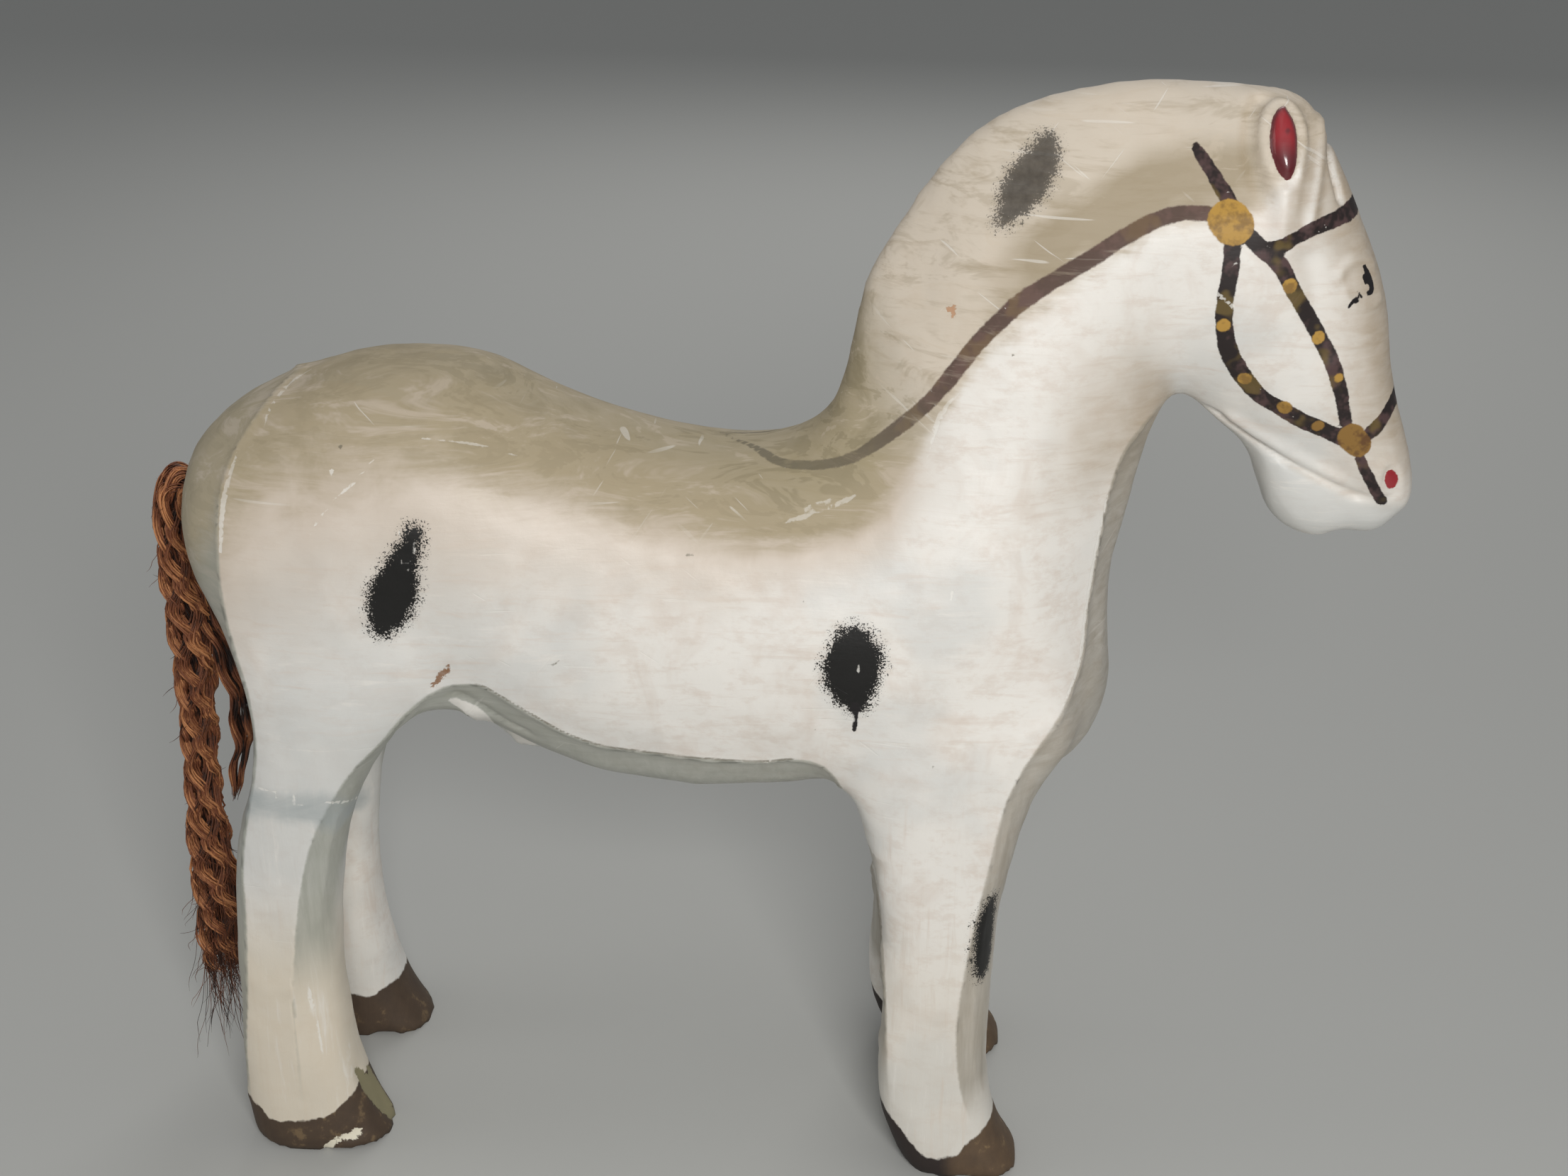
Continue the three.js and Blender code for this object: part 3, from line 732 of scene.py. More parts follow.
# Bright lines: scratches, and along the chest's ridge a painted highlight
brightLines = {  # pixels and radii of the bright lines
    "chestHighlight": [(1562, 700, 2), (1547, 772, 3), (1532, 860, 3), (1522, 935, 3), (1500, 996, 2)],
    "hindShin": [(428, 1372, 1), (436, 1400, 3), (446, 1440, 3), (456, 1490, 1)],
    "strapCrack": [(1716, 414, 3), (1728, 423, 3), (1740, 434, 3)],
    "strapNick": [(1736, 376, 1), (1741, 372, 2), (1746, 371, 1)],
    "hip": [(532, 642, 1), (500, 680, 2), (462, 716, 2), (432, 762, 1)],
    "rumpEdge": [(334, 640, 2), (319, 690, 4), (313, 730, 4), (311, 780, 2)],
    "rumpTop": [(365, 620, 1), (385, 570, 3), (410, 540, 3), (440, 520, 1)],
    "repair": [(366, 1112, 2), (384, 1114, 3), (392, 1126, 2), (420, 1134, 2), (452, 1132, 1),
               (474, 1132, 3), (494, 1130, 2), (506, 1124, 2)],
    "repairToo": [(398, 1112, 1), (410, 1116, 2), (418, 1132, 2)],
    "spotNick": [(1209, 932, 2), (1209, 941, 4), (1210, 950, 2)],
    "kneeLine": [(1240, 1402, 1), (1262, 1394, 1), (1290, 1400, 1), (1310, 1404, 1)],
    "hipDot": [(466, 664, 4), (470, 668, 4)],
    "backLine": [(596, 618, 2), (640, 622, 2), (700, 634, 2), (742, 650, 1)],
    "backEdge": [(1107, 737, 2), (1130, 730, 4), (1160, 720, 2), (1188, 708, 4), (1208, 697, 3)],
    "backEdgeToo": [(1120, 722, 1), (1150, 712, 3), (1180, 702, 1)],
    "shoulderEdge": [(1352, 556, 1), (1330, 580, 4), (1316, 618, 3), (1306, 650, 1)],
    "chestRub": [(1355, 815, 1), (1340, 845, 3), (1334, 870, 1)],
    "spotSplit": [(560, 742, 1), (570, 772, 2), (566, 800, 1)],
    "spotSplitToo": [(590, 745, 1), (584, 775, 2), (577, 800, 2), (572, 815, 1)],
}
mended = [(350, 1132, 18), (400, 1140, 22), (450, 1140, 24), (480, 1150, 26), (505, 1128, 16)]
specks = [(773, 940, 2), (780, 936, 3), (790, 931, 2), (768, 950, 1), (1095, 812, 3), (1131, 848, 3),
          (1297, 768, 3), (1302, 783, 2), (1338, 864, 3), (1345, 932, 3), (1318, 1082, 3), (480, 630, 4),
          (973, 782, 5), (1212, 1100, 2), (1150, 1030, 2), (700, 716, 2), (1430, 500, 4)]
# Where the dust and painted shade on the top end, from the rump to the ear, and how wide their edge is, in
# pixels.
dustAndShadeLine = [(200, 920, 90), (300, 740, 90), (380, 660, 80), (455, 635, 80), (593, 640, 70), (731, 678, 55),
            (869, 716, 45), (1013, 752, 40), (1110, 762, 24), (1202, 744, 26), (1254, 704, 30),
            (1298, 640, 32), (1373, 520, 40), (1440, 450, 60), (1534, 385, 40), (1623, 330, 30),
            (1704, 310, 30), (1780, 290, 30), (1990, 60, 60)]
# The upper edge of each hoof's paint, seen square from the horse's right
hindHoof = [(330, 1552), (362, 1566), (378, 1578), (395, 1582), (440, 1580), (470, 1569), (498, 1552),
            (512, 1544), (524, 1556), (542, 1580), (575, 1600)]
foreHoof = [(1230, 1565), (1250, 1580), (1262, 1590), (1275, 1604), (1290, 1621), (1306, 1632),
            (1348, 1632), (1358, 1619), (1375, 1608), (1395, 1598), (1412, 1588), (1450, 1575)]
leftHindHoof = [(450, 1404), (489, 1403), (525, 1406), (571, 1393), (588, 1398), (625, 1420)]
outerFace, innerFace = -0.083, 0.031  # m, the near legs' outer faces and the far ones' inner faces
chipKinds = ("whiteChip", "brownChip", "oliveChip")
sheathPaint = [(640, 988, 7), (662, 1001, 11), (690, 1020, 14), (720, 1038, 14), (750, 1048, 9)]
# Where each tone comes and goes: across the picture, down it or above the rein in pixels, else in metres
zones = {
    "aboveRein": ((0, 12), (50, 130)), "aboveReinAcross": ((1330, 1480), (1755, 1795)),
    "belowRein": ((-50, -8), (0, 10)), "belowReinAcross": ((1215, 1260), (1330, 1430)),
    "backEnd": (1200, 1350), "backEndFrom": 600, "backEndSlope": 0.35,
    "jawDown": (0, 14), "jawAcross": (1700, 1740), "jawHeight": (0.37, 0.38),
    "faceAcross": (1840, 1950), "faceHeight": (0.38, 0.44),
    "foreToe": (1325, 1350), "betweenLegs": 900,
    "bellyAlong": ((-0.165, -0.145), (0.02, 0.05)), "bellyHeight": (0.19, 0.21),
    "bevelReach": (0.020, 0.065), "bevelRise": (0.17, 0.26), "bevelFade": 0.014,
    "shinBevel": (0.1, 0.15), "hoofTop": 0.07,
}
print("paint: marks")
tree = surfaceTree(horse)
mesh = horse.data
points, normals = surfaceOf(mesh)


def markSet(marks, reach=0.03, over=(), spacing=7.0):
    # All the marks on both sides; those in over are led across the head's middle
    strokes = Strokes(points, normals, reach)
    for mark in marks:
        bothSides(strokes, tree, *trail(tree, mark, spacing))
    for mark in over:
        bothSides(strokes, tree, *overMiddle(tree, *trail(tree, mark, spacing)))
    return strokes


def oneSide(marks, spacing=5.0):
    # The distance to marks that only the right side has
    strokes = Strokes(points, normals)
    for mark in marks:
        strokes.add(*trail(tree, mark, spacing))
    return strokes.edge


paint = {}
paint["bridle"] = markSet(bridle.values(), over=overHead.values(), spacing=5).edge
# The rein crosses the back and comes down the left side from where it ends in the photograph.
reinStrokes = Strokes(points, normals)
path, radii = trail(tree, rein)
reinStrokes.add(path, radii)
other = mirrored(tree, path)
beyond = other[:, 1] > path[-1, 1] + 0.005
other, otherRadii = np.concatenate([other[beyond], path[-1:]]), np.append(radii[beyond], radii[-1])
reinStrokes.add(other[::-1], otherRadii[::-1], True)
paint["rein"], paint["reinRun"] = reinStrokes.edge, reinStrokes.run
paint["gilt"] = markSet(bosses + [[stud] for stud in studs], spacing=4).edge
paint["lining"] = markSet([earLining, nostril], spacing=4).edge
paint["ink"] = markSet([*eyeMarks, sprayDrip], spacing=3).edge
paint["spray"] = markSet(sprayed.values(), reach=0.05).edge
paint["speck"] = oneSide([[speck] for speck in specks])
# Scratches, and the painted highlight along the chest's ridge
paint["scratchAndHighlight"] = oneSide(brightLines.values())
paint["mend"] = oneSide([mended])
for kind in chipKinds:
    paint[kind] = oneSide([chip["marks"] for chip in chips if chip["shows"] == kind])
chine, chineEnds = edgeStrokes(points, normals, tree, carvedEdges.values(), 0.09)
# The signed distance from the carved edges, which places the painted shade on the faces that look away
paint["bevel"] = chine.offset
# The painted shade on the carved faces goes on across the chest, the rump and the belly, but not round to
# the inside of the legs.
x, z = points[:, 0], points[:, 2]
nearReach, farReach = zones["bevelReach"]
limit = -nearReach - (farReach - nearReach) * smooth(*zones["bevelRise"], z)
bevelPart = chineEnds * smooth(limit - zones["bevelFade"], limit, chine.offset)
bevelPart *= np.where((x < 0) & (x > -0.26), smooth(*zones["shinBevel"], z), 1)
paint["bevelPart"] = bevelPart * (chine.offset < 0.004)
paint["sheath"] = markSet([sheathPaint]).edge
alongBelly = window(x, *zones["bellyAlong"]) * smooth(*zones["bellyHeight"], z)
paint["belly"] = abs(chine.offset) + 0.02 * (1 - alongBelly)
# Dust and painted shade on the top, placed by how far above its edge line each point lies
right = np.where(points[:, [1]] > 0, points * [1, -1, 1], points)
u, v = seenAt(right)
line = np.array(dustAndShadeLine, float)
paint["dustAndShade"] = 0.5 + (np.interp(u, line[:, 0], line[:, 1]) - v) / np.interp(u, line[:, 0], line[:, 2]) / 2
forwards = u - zones["backEndSlope"] * (v - zones["backEndFrom"])
paint["back"] = 1 - smooth(*zones["backEnd"], forwards)
# A dusty band above the rein, on the neck, and a fainter one below it
reinLine = np.array(rein[::-1])
overRein = np.interp(u, reinLine[:, 0], reinLine[:, 1]) - v
paint["maneBand"] = sum(
    strength * window(overRein, *zones[name]) * window(u, *zones[name + "Across"])
    for name, strength in (("aboveRein", 1.0), ("belowRein", 0.5)))
# The jaw under the cheek's crease is greyer: painted shade
crease = np.array(headRelief["cheekCrease"]["marks"])
paint["jaw"] = smooth(*zones["jawDown"], v - np.interp(u, crease[:, 0], crease[:, 1]))
paint["jaw"] *= smooth(*zones["jawAcross"], u) * smooth(*zones["jawHeight"], z)
# The face's front, and the side towards it, browner: painted shade
paint["faceFront"] = np.maximum(smooth(0.05, 0.75, normals[:, 0]), 0.75 * smooth(*zones["faceAcross"], u))
paint["faceFront"] *= smooth(*zones["faceHeight"], z)
outer = points.copy()
onLeft = points[:, 1] > 0
leftHind = onLeft & (x < 0)
outer[:, 0] -= np.where(onLeft & (x > 0), leftForeLegStep * share, 0)
outer[:, 1] = np.where(leftHind, innerFace, outerFace)
u, v = seenAt(outer)
onForeLeg = u > zones["betweenLegs"]
hoofLine = np.where(onForeLeg, np.interp(u, *zip(*foreHoof)), np.interp(u, *zip(*hindHoof)))
hoofLine = np.where(leftHind, np.interp(u, *zip(*leftHindHoof)), hoofLine)
perPixel = abs(outerFace - eye[1]) / seenFrom["focal"]
paint["hoof"] = np.where(z < zones["hoofTop"], (hoofLine - v) * perPixel, 0.05)
paint["toe"] = np.where(onForeLeg, smooth(*zones["foreToe"], u), 0.55)
# How far each point lies in a hollow, smoothed, which places painted shade there
ends, count = edgesOf(mesh), len(points)
hollow = ((neighbourMean(points, ends, count) - points) * normals).sum(axis=1)[:, None]
for _ in range(10):
    hollow = neighbourMean(hollow, ends, count)
paint["hollow"] = hollow[:, 0]
for name, values in paint.items():
    layer = mesh.attributes.new(name, "FLOAT", "POINT")
    layer.data.foreach_set("value", values.astype(np.float32))


class Signal:
    # A socket in a material. Its operators add Math nodes, and node() adds any other kind.
    def __init__(self, tree, socket=None):
        self.tree, self.socket = tree, socket

    def node(self, kind, settings=None, values=None, output=0):
        made = self.tree.nodes.new(kind)
        for name, value in (settings or {}).items():
            setattr(made, name, value)
        for key, value in (values or {}).items():
            if isinstance(value, Signal):
                self.tree.links.new(value.socket, made.inputs[key])
            else:
                made.inputs[key].default_value = value
        return Signal(self.tree, made.outputs[output])

    def maths(self, operation, *values):
        return self.node("ShaderNodeMath", {"operation": operation}, dict(enumerate(values)))

    def __add__(self, other):
        return self.maths("ADD", self, other)

    def __radd__(self, other):
        return self.maths("ADD", other, self)

    def __sub__(self, other):
        return self.maths("SUBTRACT", self, other)

    def __rsub__(self, other):
        return self.maths("SUBTRACT", other, self)

    def __mul__(self, other):
        return self.maths("MULTIPLY", self, other)

    def __rmul__(self, other):
        return self.maths("MULTIPLY", other, self)

    def __or__(self, other):
        return self.maths("MAXIMUM", self, other)

    def __and__(self, other):
        return self.maths("MINIMUM", self, other)

    def rise(self, low, high):
        # 0 below low, 1 above high, smooth between
        settings = {"interpolation_type": "SMOOTHSTEP"}
        if low < high:
            return self.node("ShaderNodeMapRange", settings, {0: self, 1: low, 2: high})
        return self.node("ShaderNodeMapRange", settings, {0: self, 1: high, 2: low, 3: 1.0, 4: 0.0})

    def scaled(self, x, y, z):
        return self.node("ShaderNodeVectorMath", {"operation": "MULTIPLY"}, {0: self, 1: (x, y, z)})

    def noise(self, scale, detail=3.0, roughness=0.55, distortion=0.0):
        values = {"Vector": self, "Scale": scale, "Detail": detail}
        values |= {"Roughness": roughness, "Distortion": distortion}
        return self.node("ShaderNodeTexNoise", None, values)

    def over(self, below, amount):
        # This colour laid over another one
        values = {0: amount, 6: below, 7: self}
        return self.node("ShaderNodeMix", {"data_type": "RGBA"}, values, 2)


def hue(code):
    # A colour written as six digits, as the straight numbers that a shader takes
    parts = [int(code[i:i + 2], 16) / 255 for i in (0, 2, 4)]
    return (*(c / 12.92 if c <= 0.04045 else ((c + 0.055) / 1.055) ** 2.4 for c in parts), 1.0)


def coats(below, layers, palette=None):
    # Plain colours laid over what is below, one after another, each by its amount
    for name, amount in layers:
        colour = hue((palette or plasterPaint)[name])
        below = below.node("ShaderNodeMix", {"data_type": "RGBA"}, {0: amount, 6: below, 7: colour}, 2)
    return below


def connect(tree, shader, signals):
    for name, signal in signals.items():
        tree.links.new(signal.socket, shader.inputs[name])


def newMaterial(name):
    material = bpy.data.materials.new(name)
    material.use_nodes = True
    tree = material.node_tree
    shader = tree.nodes["Principled BSDF"]
    return material, tree, shader, Signal(tree)


plasterPaint = {
    "white": "efebe4", "rose": "dbcdc0", "cool": "d3d4d1", "cream": "ddd0b9",
    # The grey bevel colours are painted shade on the carved faces that look away
    "bevel": "9fa195", "bevelShadeWarm": "a89c8b",
    # The dust colours are dust and varnish together with painted shade on the top
    "dustAndShade": "a59878", "dustAndShadeDark": "8b8063", "dustAndShadeEdge": "b3a489", "dustAndShadePink": "d4c5b4",
    # The brow colour is painted shade on the face's front
    # The dirt colour is specks of dirt, and painted shade in the belly's crease and the hollows
    "mane": "d2c4b0", "maneBand": "a5967c", "brow": "b9a891", "dirtAndShade": "77705f",
    "strap": "241a19", "strapRose": "594241", "strapOlive": "6f5c30",
    "reinWorn": "7d6559", "reinFaded": "6f6a57",
    "gilt": "ba9143", "giltDark": "7f6032", "giltBrown": "684725",
    # The dark lining colour is painted shade at the lining's edges and lower end
    "lining": "9a1420", "liningShaded": "430815",
    "ink": "151012", "spray": "0c0a08", "haze": "5f5246", "repair": "a9b0b0",
    "hoof": "2e2522", "hoofBrown": "66523d", "hoofLight": "937b58",
    "bare": "ece5d0", "bareBrown": "8b623f", "barePeach": "cba283", "bareOlive": "8d8668",
    # The scratch colour also paints the highlight along the chest's ridge
    "scratchAndHighlight": "f3f0e9",
}


def plasterMaterial():
    # Off-white gloss paint in brushed coats over plaster, with dust and painted shade on top, painted shade
    # on the faces that look away, in the hollows, under the jaw and on the face's front, a painted
    # highlight along the chest's ridge, painted harness, sprayed spots and chips. Every mark's edge is the
    # distance that its attribute holds, in metres.
    material, tree, shader, start = newMaterial("painted_plaster")
    place = start.node("ShaderNodeTexCoord", None, None, 3)
    read = {name: start.node("ShaderNodeAttribute", {"attribute_name": name}, None, 2) for name in paint}
    forward, sideways, height = (place.node("ShaderNodeSeparateXYZ", None, {0: place}, i) for i in range(3))
    dustAndShade, back, bandShape = read["dustAndShade"], read["back"], read["maneBand"]
    upper = height.rise(0.40, 0.46)
    broad = place.noise(9.0, 3.0, 0.6)
    patch = place.noise(26.0, 4.0, 0.66, 0.7)
    grain = place.noise(260.0, 3.0, 0.6)
    fine = place.noise(1150.0, 1.0, 0.6)
    cloudy = place.scaled(60.0, 60.0, 110.0).noise(1.0, 4.0, 0.7)
    stains = place.scaled(16.0, 34.0, 62.0).noise(1.0, 4.0, 0.72, 0.9)
    streakBody = place.scaled(22.0, 60.0, 190.0).noise(1.0, 4.0, 0.65, 0.5)
    streakLeg = place.scaled(190.0, 120.0, 16.0).noise(1.0, 4.0, 0.65, 0.4)
    streak = streakBody + (streakLeg - streakBody) * height.rise(0.30, 0.20)
    wobble = (place.noise(170.0, 2.0, 0.6) - 0.5) * 0.0016 + (place.noise(700.0, 2.0, 0.6) - 0.5) * 0.0009
    edgeOf = lambda name, soft=0.0004: (read[name] + wobble).rise(soft, -soft)

    # Brushed coats, cream and cool towards the hooves
    coolLeg = height.rise(0.33, 0.24) * height.rise(0.12, 0.20) * forward.rise(0.0, -0.15)
    creamLeg = height.rise(0.19, 0.11) * (0.25 + 0.5 * forward.rise(0.0, -0.1)) * sideways.rise(0.05, -0.01)
    colour = coats(place, [
        ("white", 1.0),
        ("rose", patch.rise(0.46, 0.70) * 0.45),
        ("rose", cloudy.rise(0.48, 0.66) * 0.4),
        ("cool", broad.rise(0.46, 0.62) * 0.55),
        ("rose", streak.rise(0.52, 0.72) * 0.45),
        ("cool", coolLeg * 0.7),
        ("cream", creamLeg),
        # Painted shade: the jaw greyer under the cheek's crease
        ("cool", read["jaw"] * 0.75),
        ("white", streak.rise(0.45, 0.28) * 0.5),
        # Painted shade: the face's front browner
        ("brow", read["faceFront"] * (0.45 + 0.7 * streak)),
    ])

    # Dust and yellowed varnish where the figure faces up, darkened further by painted shade there, with a
    # lighter brink
    dustyAndShaded = (dustAndShade + (streak - 0.5) * 0.55 + (patch - 0.5) * 0.75).rise(0.2, 0.8)
    dustyShadedBack, dustyShadedMane = dustyAndShaded * back, dustyAndShaded * (1.0 - back)
    band = bandShape * (0.35 + 1.0 * broad.rise(0.36, 0.6)) + (streak - 0.5) * 0.5 * bandShape
    brink = (dustAndShade + (patch - 0.5) * 0.8).rise(-0.1, 0.4) * dustAndShade.rise(2.1, 0.8) * back
    colour = coats(colour, [
        ("dustAndShadePink", (dustAndShade + (broad - 0.5) * 1.2).rise(-1.5, 0.3) * back * 0.85),
        ("mane", dustyShadedMane * 0.8),
        ("maneBand", dustyShadedMane * (stains.rise(0.50, 0.62) * 0.35 + streak.rise(0.5, 0.7) * 0.3)),
        ("maneBand", band & 0.85),
        ("dustAndShade", dustyShadedBack * (0.66 + 0.4 * streak)),
        ("dustAndShadeDark", dustyShadedBack * patch.rise(0.44, 0.66) * upper * 0.7),
        ("dustAndShadeDark", dustyShadedBack * stains.rise(0.53, 0.57) * 0.45),
        ("mane", dustyAndShaded * stains.rise(0.41, 0.36) * 0.35),
        ("dustAndShadeEdge", brink * (0.1 + 0.9 * streak)),
        ("rose", brink * stains.rise(0.48, 0.38) * 0.3),
    ])

    # Painted shade: the carved faces that look away are greyer, except under the sheath's white and the
    # dust and painted shade on the top
    sheath = edgeOf("sheath", 0.0008)
    bevel = (read["bevel"] + wobble * 0.8).rise(0.0008, -0.0012) * read["bevelPart"]
    bevel = bevel * (1.0 - sheath) * (1.0 - dustyShadedBack * 0.75)
    bevelShadeColour = coats(colour, [("bevel", 1.0), ("bevelShadeWarm", forward.rise(0.02, 0.08) * 0.75)])
    colour = bevelShadeColour.over(colour, bevel * (0.35 + 0.75 * streak))

    # Rubbed scratches: short thin dashes along the body and two sets across it
    dashes = place.scaled(16.0, 16.0, 330.0).noise(1.0, 1.0, 0.4, 0.15).rise(0.715, 0.735)
    for turn in (0.9, -0.6):
        turned = place.node("ShaderNodeMapping", None, {"Vector": place, "Rotation": (0.0, turn, 0.0)})
        dashes = dashes | turned.scaled(24.0, 24.0, 380.0).noise(1.0, 1.0, 0.4, 0.25).rise(0.73, 0.75)
    rubbed = dashes * place.noise(11.0, 2.0, 0.6).rise(0.46, 0.60) * height.rise(0.08, 0.20)

    # Sprayed spots, over painted shade in the hollows and the belly's dark line, which is dirt and painted
    # shade in its crease: solid inside, speckled outwards, and worn thin on the neck
    sprayEdge = read["spray"] * 1000.0 + 1.3 + (patch - 0.5) * 6.0
    thick = sprayEdge.rise(13.0, -2.0)
    thick = thick * thick
    dots = (fine * 0.8 + grain * 0.4 + thick * 0.42).rise(0.70, 0.82) * thick.rise(0.004, 0.05)
    solidSpot = (sprayEdge + (grain - 0.5) * 10.0).rise(1.2, -1.4)
    worn = upper * (0.28 - 0.2 * sprayEdge.rise(-4.0, -16.0) + 0.2 * (streak - 0.5))
    mend = (read["mend"] + (patch - 0.5) * 0.012).rise(0.005, -0.005) * (0.3 + 1.2 * (stains - 0.2))
    colour = coats(colour, [
        ("white", sheath * 0.8),
        # The belly's dark line: dirt and painted shade in the crease
        ("dirtAndShade", (read["belly"] + wobble * 0.3).rise(0.0012, 0.0003) * 0.75),
        ("repair", mend & 0.85),
        ("scratchAndHighlight", rubbed * (0.22 + 0.18 * dustyAndShaded)),
        # Painted shade in the hollows
        ("dirtAndShade", (read["hollow"] * 1000.0).rise(0.02, 0.16) * 0.45),
        ("dirtAndShade", edgeOf("speck") * 0.8),
        ("haze", thick * (0.15 + 0.7 * grain)),
        ("spray", (dots | solidSpot) * (1.0 - worn)),
    ])

    # The harness, brushed on
    strap, reinEdge, gilt = edgeOf("bridle"), edgeOf("rein", 0.0006), edgeOf("gilt", 0.0005)
    strapColour = coats(colour, [
        ("strap", 1.0),
        ("strapRose", place.noise(75.0, 3.0, 0.65).rise(0.46, 0.62) * 0.8),
        ("strapOlive", place.noise(52.0, 2.0, 0.6).rise(0.54, 0.64) * 0.75),
    ])
    fadeOut = read["reinRun"].rise(0.45, 0.8)
    reinColour = coats(strapColour, [("reinWorn", 0.5), ("reinFaded", fadeOut * 0.85)])
    reinWear = 1.0 - (streak.rise(0.52, 0.75) * 0.45 + fadeOut * 0.2)
    colour = reinColour.over(strapColour.over(colour, strap), reinEdge * reinWear)
    flecks = place.noise(210.0, 3.0, 0.7).rise(0.69, 0.75) * 0.6
    colour = coats(colour, [("white", (strap | reinEdge) * flecks)])
    giltTone = place.noise(120.0, 3.0, 0.6).rise(0.46, 0.66)
    giltColour = coats(colour, [
        ("gilt", 1.0),
        ("giltDark", giltTone * 0.75),
        ("giltBrown", height.rise(0.462, 0.440) * (0.6 + 0.4 * giltTone)),
    ])
    colour = giltColour.over(colour, gilt)
    lining = edgeOf("lining", 0.0003)
    # The lining darker at its edges and lower end, painted shade, and in patches
    liningShade = read["lining"].rise(-0.004, -0.0004) | place.noise(110.0, 2.0, 0.6).rise(0.5, 0.7)
    liningShade = (liningShade | height.rise(0.592, 0.578)) * height.rise(0.45, 0.55)
    colour = coats(colour, [
        ("lining", lining),
        ("liningShaded", lining * liningShade * 0.8),
        ("ink", edgeOf("ink", 0.0003)),
    ])

    # Hooves, chips, scratches and the painted highlight along the chest's ridge
    hoofEdge = (read["hoof"] + (place.noise(90.0, 3.0, 0.6) - 0.5) * 0.006).rise(0.0006, -0.0006)
    hoofTone = place.noise(90.0, 4.0, 0.65)
    hoofColour = coats(colour, [
        ("hoof", 1.0),
        ("hoofBrown", read["toe"] * (0.35 + hoofTone)),
        ("hoofLight", read["toe"] * hoofTone.rise(0.56, 0.70) * 0.8),
    ])
    ragged = (place.noise(330.0, 3.0, 0.7) - 0.5) * 0.006
    white, brown, olive = ((read[name] + ragged).rise(0.0004, -0.0004) for name in chipKinds)
    scratchAndHighlight = (read["scratchAndHighlight"] + (grain - 0.5) * 0.0022).rise(0.0002, -0.0003)
    scratchAndHighlight = scratchAndHighlight * place.noise(240.0, 1.0, 0.5).rise(0.28, 0.40)
    colour = coats(hoofColour.over(colour, hoofEdge), [
        ("bare", white),
        ("bareBrown", brown * (0.6 + 0.6 * grain)),
        ("barePeach", brown * upper * 0.85),
        ("bareOlive", olive),
        ("scratchAndHighlight", scratchAndHighlight * (0.62 - 0.25 * dustyAndShaded)),
    ])

    painted = strap | reinEdge | gilt
    rough = 0.36 + 0.18 * streak + 0.28 * dustyAndShaded + 0.10 * painted - 0.14 * lining
    rough = rough + 0.25 * (hoofEdge | white | brown | olive)
    relief = streak * 0.00018 + grain * 0.00010 + fine * 0.00002 + patch * 0.0003
    relief = relief + painted * 0.00016 + lining * 0.0001 - rubbed * 0.0001 - scratchAndHighlight * 0.0001
    bump = start.node("ShaderNodeBump", None, {"Strength": 0.8, "Distance": 1.0, "Height": relief})
    shader.inputs["Coat Roughness"].default_value = 0.12
    connect(tree, shader, {"Base Color": colour, "Roughness": rough, "Coat Weight": lining, "Normal": bump})
    return material


print("plaster: paint")
horse.data.materials.clear()
horse.data.materials.append(plasterMaterial())
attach(horse, "root")
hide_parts("horse_body")

# The tail, in shares: outer edge x, z, inner edge x, z and half width, with z from the socket's middle.
# Its root lies in the socket.
tailBend = [
    [-52.6, 1.15, -52.6, -1.15, 1.15],
    [-54.2, 1.35, -54.0, -1.25, 1.3],
    [-55.6, 1.9, -54.8, -1.8, 1.7],
    [-57.0, 1.0, -55.0, -2.9, 2.1],
    [-57.9, -1.6, -55.0, -4.2, 2.4],
    [-58.2, -5.4, -54.9, -6.4, 2.5],
    [-58.3, -10.0, -54.2, -10.2, 2.6],
    [-58.2, -13.6, -53.9, -13.6, 2.6],
    [-58.1, -17.8, -54.0, -17.8, 2.5],
    [-58.1, -22.3, -54.4, -22.3, 2.4],
    [-58.2, -26.4, -54.7, -26.4, 2.4],
    [-58.4, -30.7, -54.9, -30.7, 2.4],
    [-58.8, -35.4, -54.7, -35.4, 2.5],
    [-58.9, -41.0, -54.2, -41.0, 2.6],
    [-58.8, -45.0, -54.2, -45.0, 2.6],
    [-59.2, -48.4, -54.5, -48.4, 2.4],
    [-59.0, -51.0, -55.0, -51.0, 1.9],
    [-58.4, -52.6, -55.8, -52.6, 1.2],
]
lockBend = [
    [-56.4, -9.0, -53.4, -9.8, 1.1],
    [-55.4, -14.6, -52.3, -15.2, 1.4],
    [-54.2, -18.2, -51.4, -18.6, 1.5],
    [-53.7, -21.8, -50.9, -22.0, 1.4],
    [-53.7, -25.2, -51.0, -25.4, 1.2],
    [-54.1, -28.8, -52.1, -29.2, 0.9],
    [-54.4, -32.6, -53.4, -33.0, 0.5],
]
hank = {
    "locks": 8, "strandsInLock": 37, "coreLocks": 3, "strandsInCore": 26, "rings": 108, "sides": 3,
    "strand": 0.00055,  # m, radius
    "crimp": 0.033,  # m, from one wave to the next
    "spread": 0.66, "lockSize": 0.30,  # shares of the hank's half thickness
    "swing": 0.50,  # radians
    "coreSpread": 0.22, "sideLocks": 3, "strandsInSide": 26, "sideSpread": 0.5,
    # The core's strands are darker: painted shade in the middle of the hank
    "tone": 0.55, "coreShade": 0.12, "sideTone": 0.42, "plugTone": 0.1,  # 0 dark, 1 light
    "wisps": 380, "flyaways": 110,  # loose hairs at the lower end and along the hank
    "wispRings": (84, 106), "flyawayRings": (20, 102),  # where on the hank they begin
    "wispLength": (0.015, 0.075),  # m, the shortest, and how much the longest adds
    "flyawayLength": (0.004, 0.022),  # m, the shortest and the longest
    "wisp": 0.00016, "flyaway": 0.00018,  # m, radius
    "behind": 0.006,  # m, how far loose hairs may stand out past the figure's rear end
}


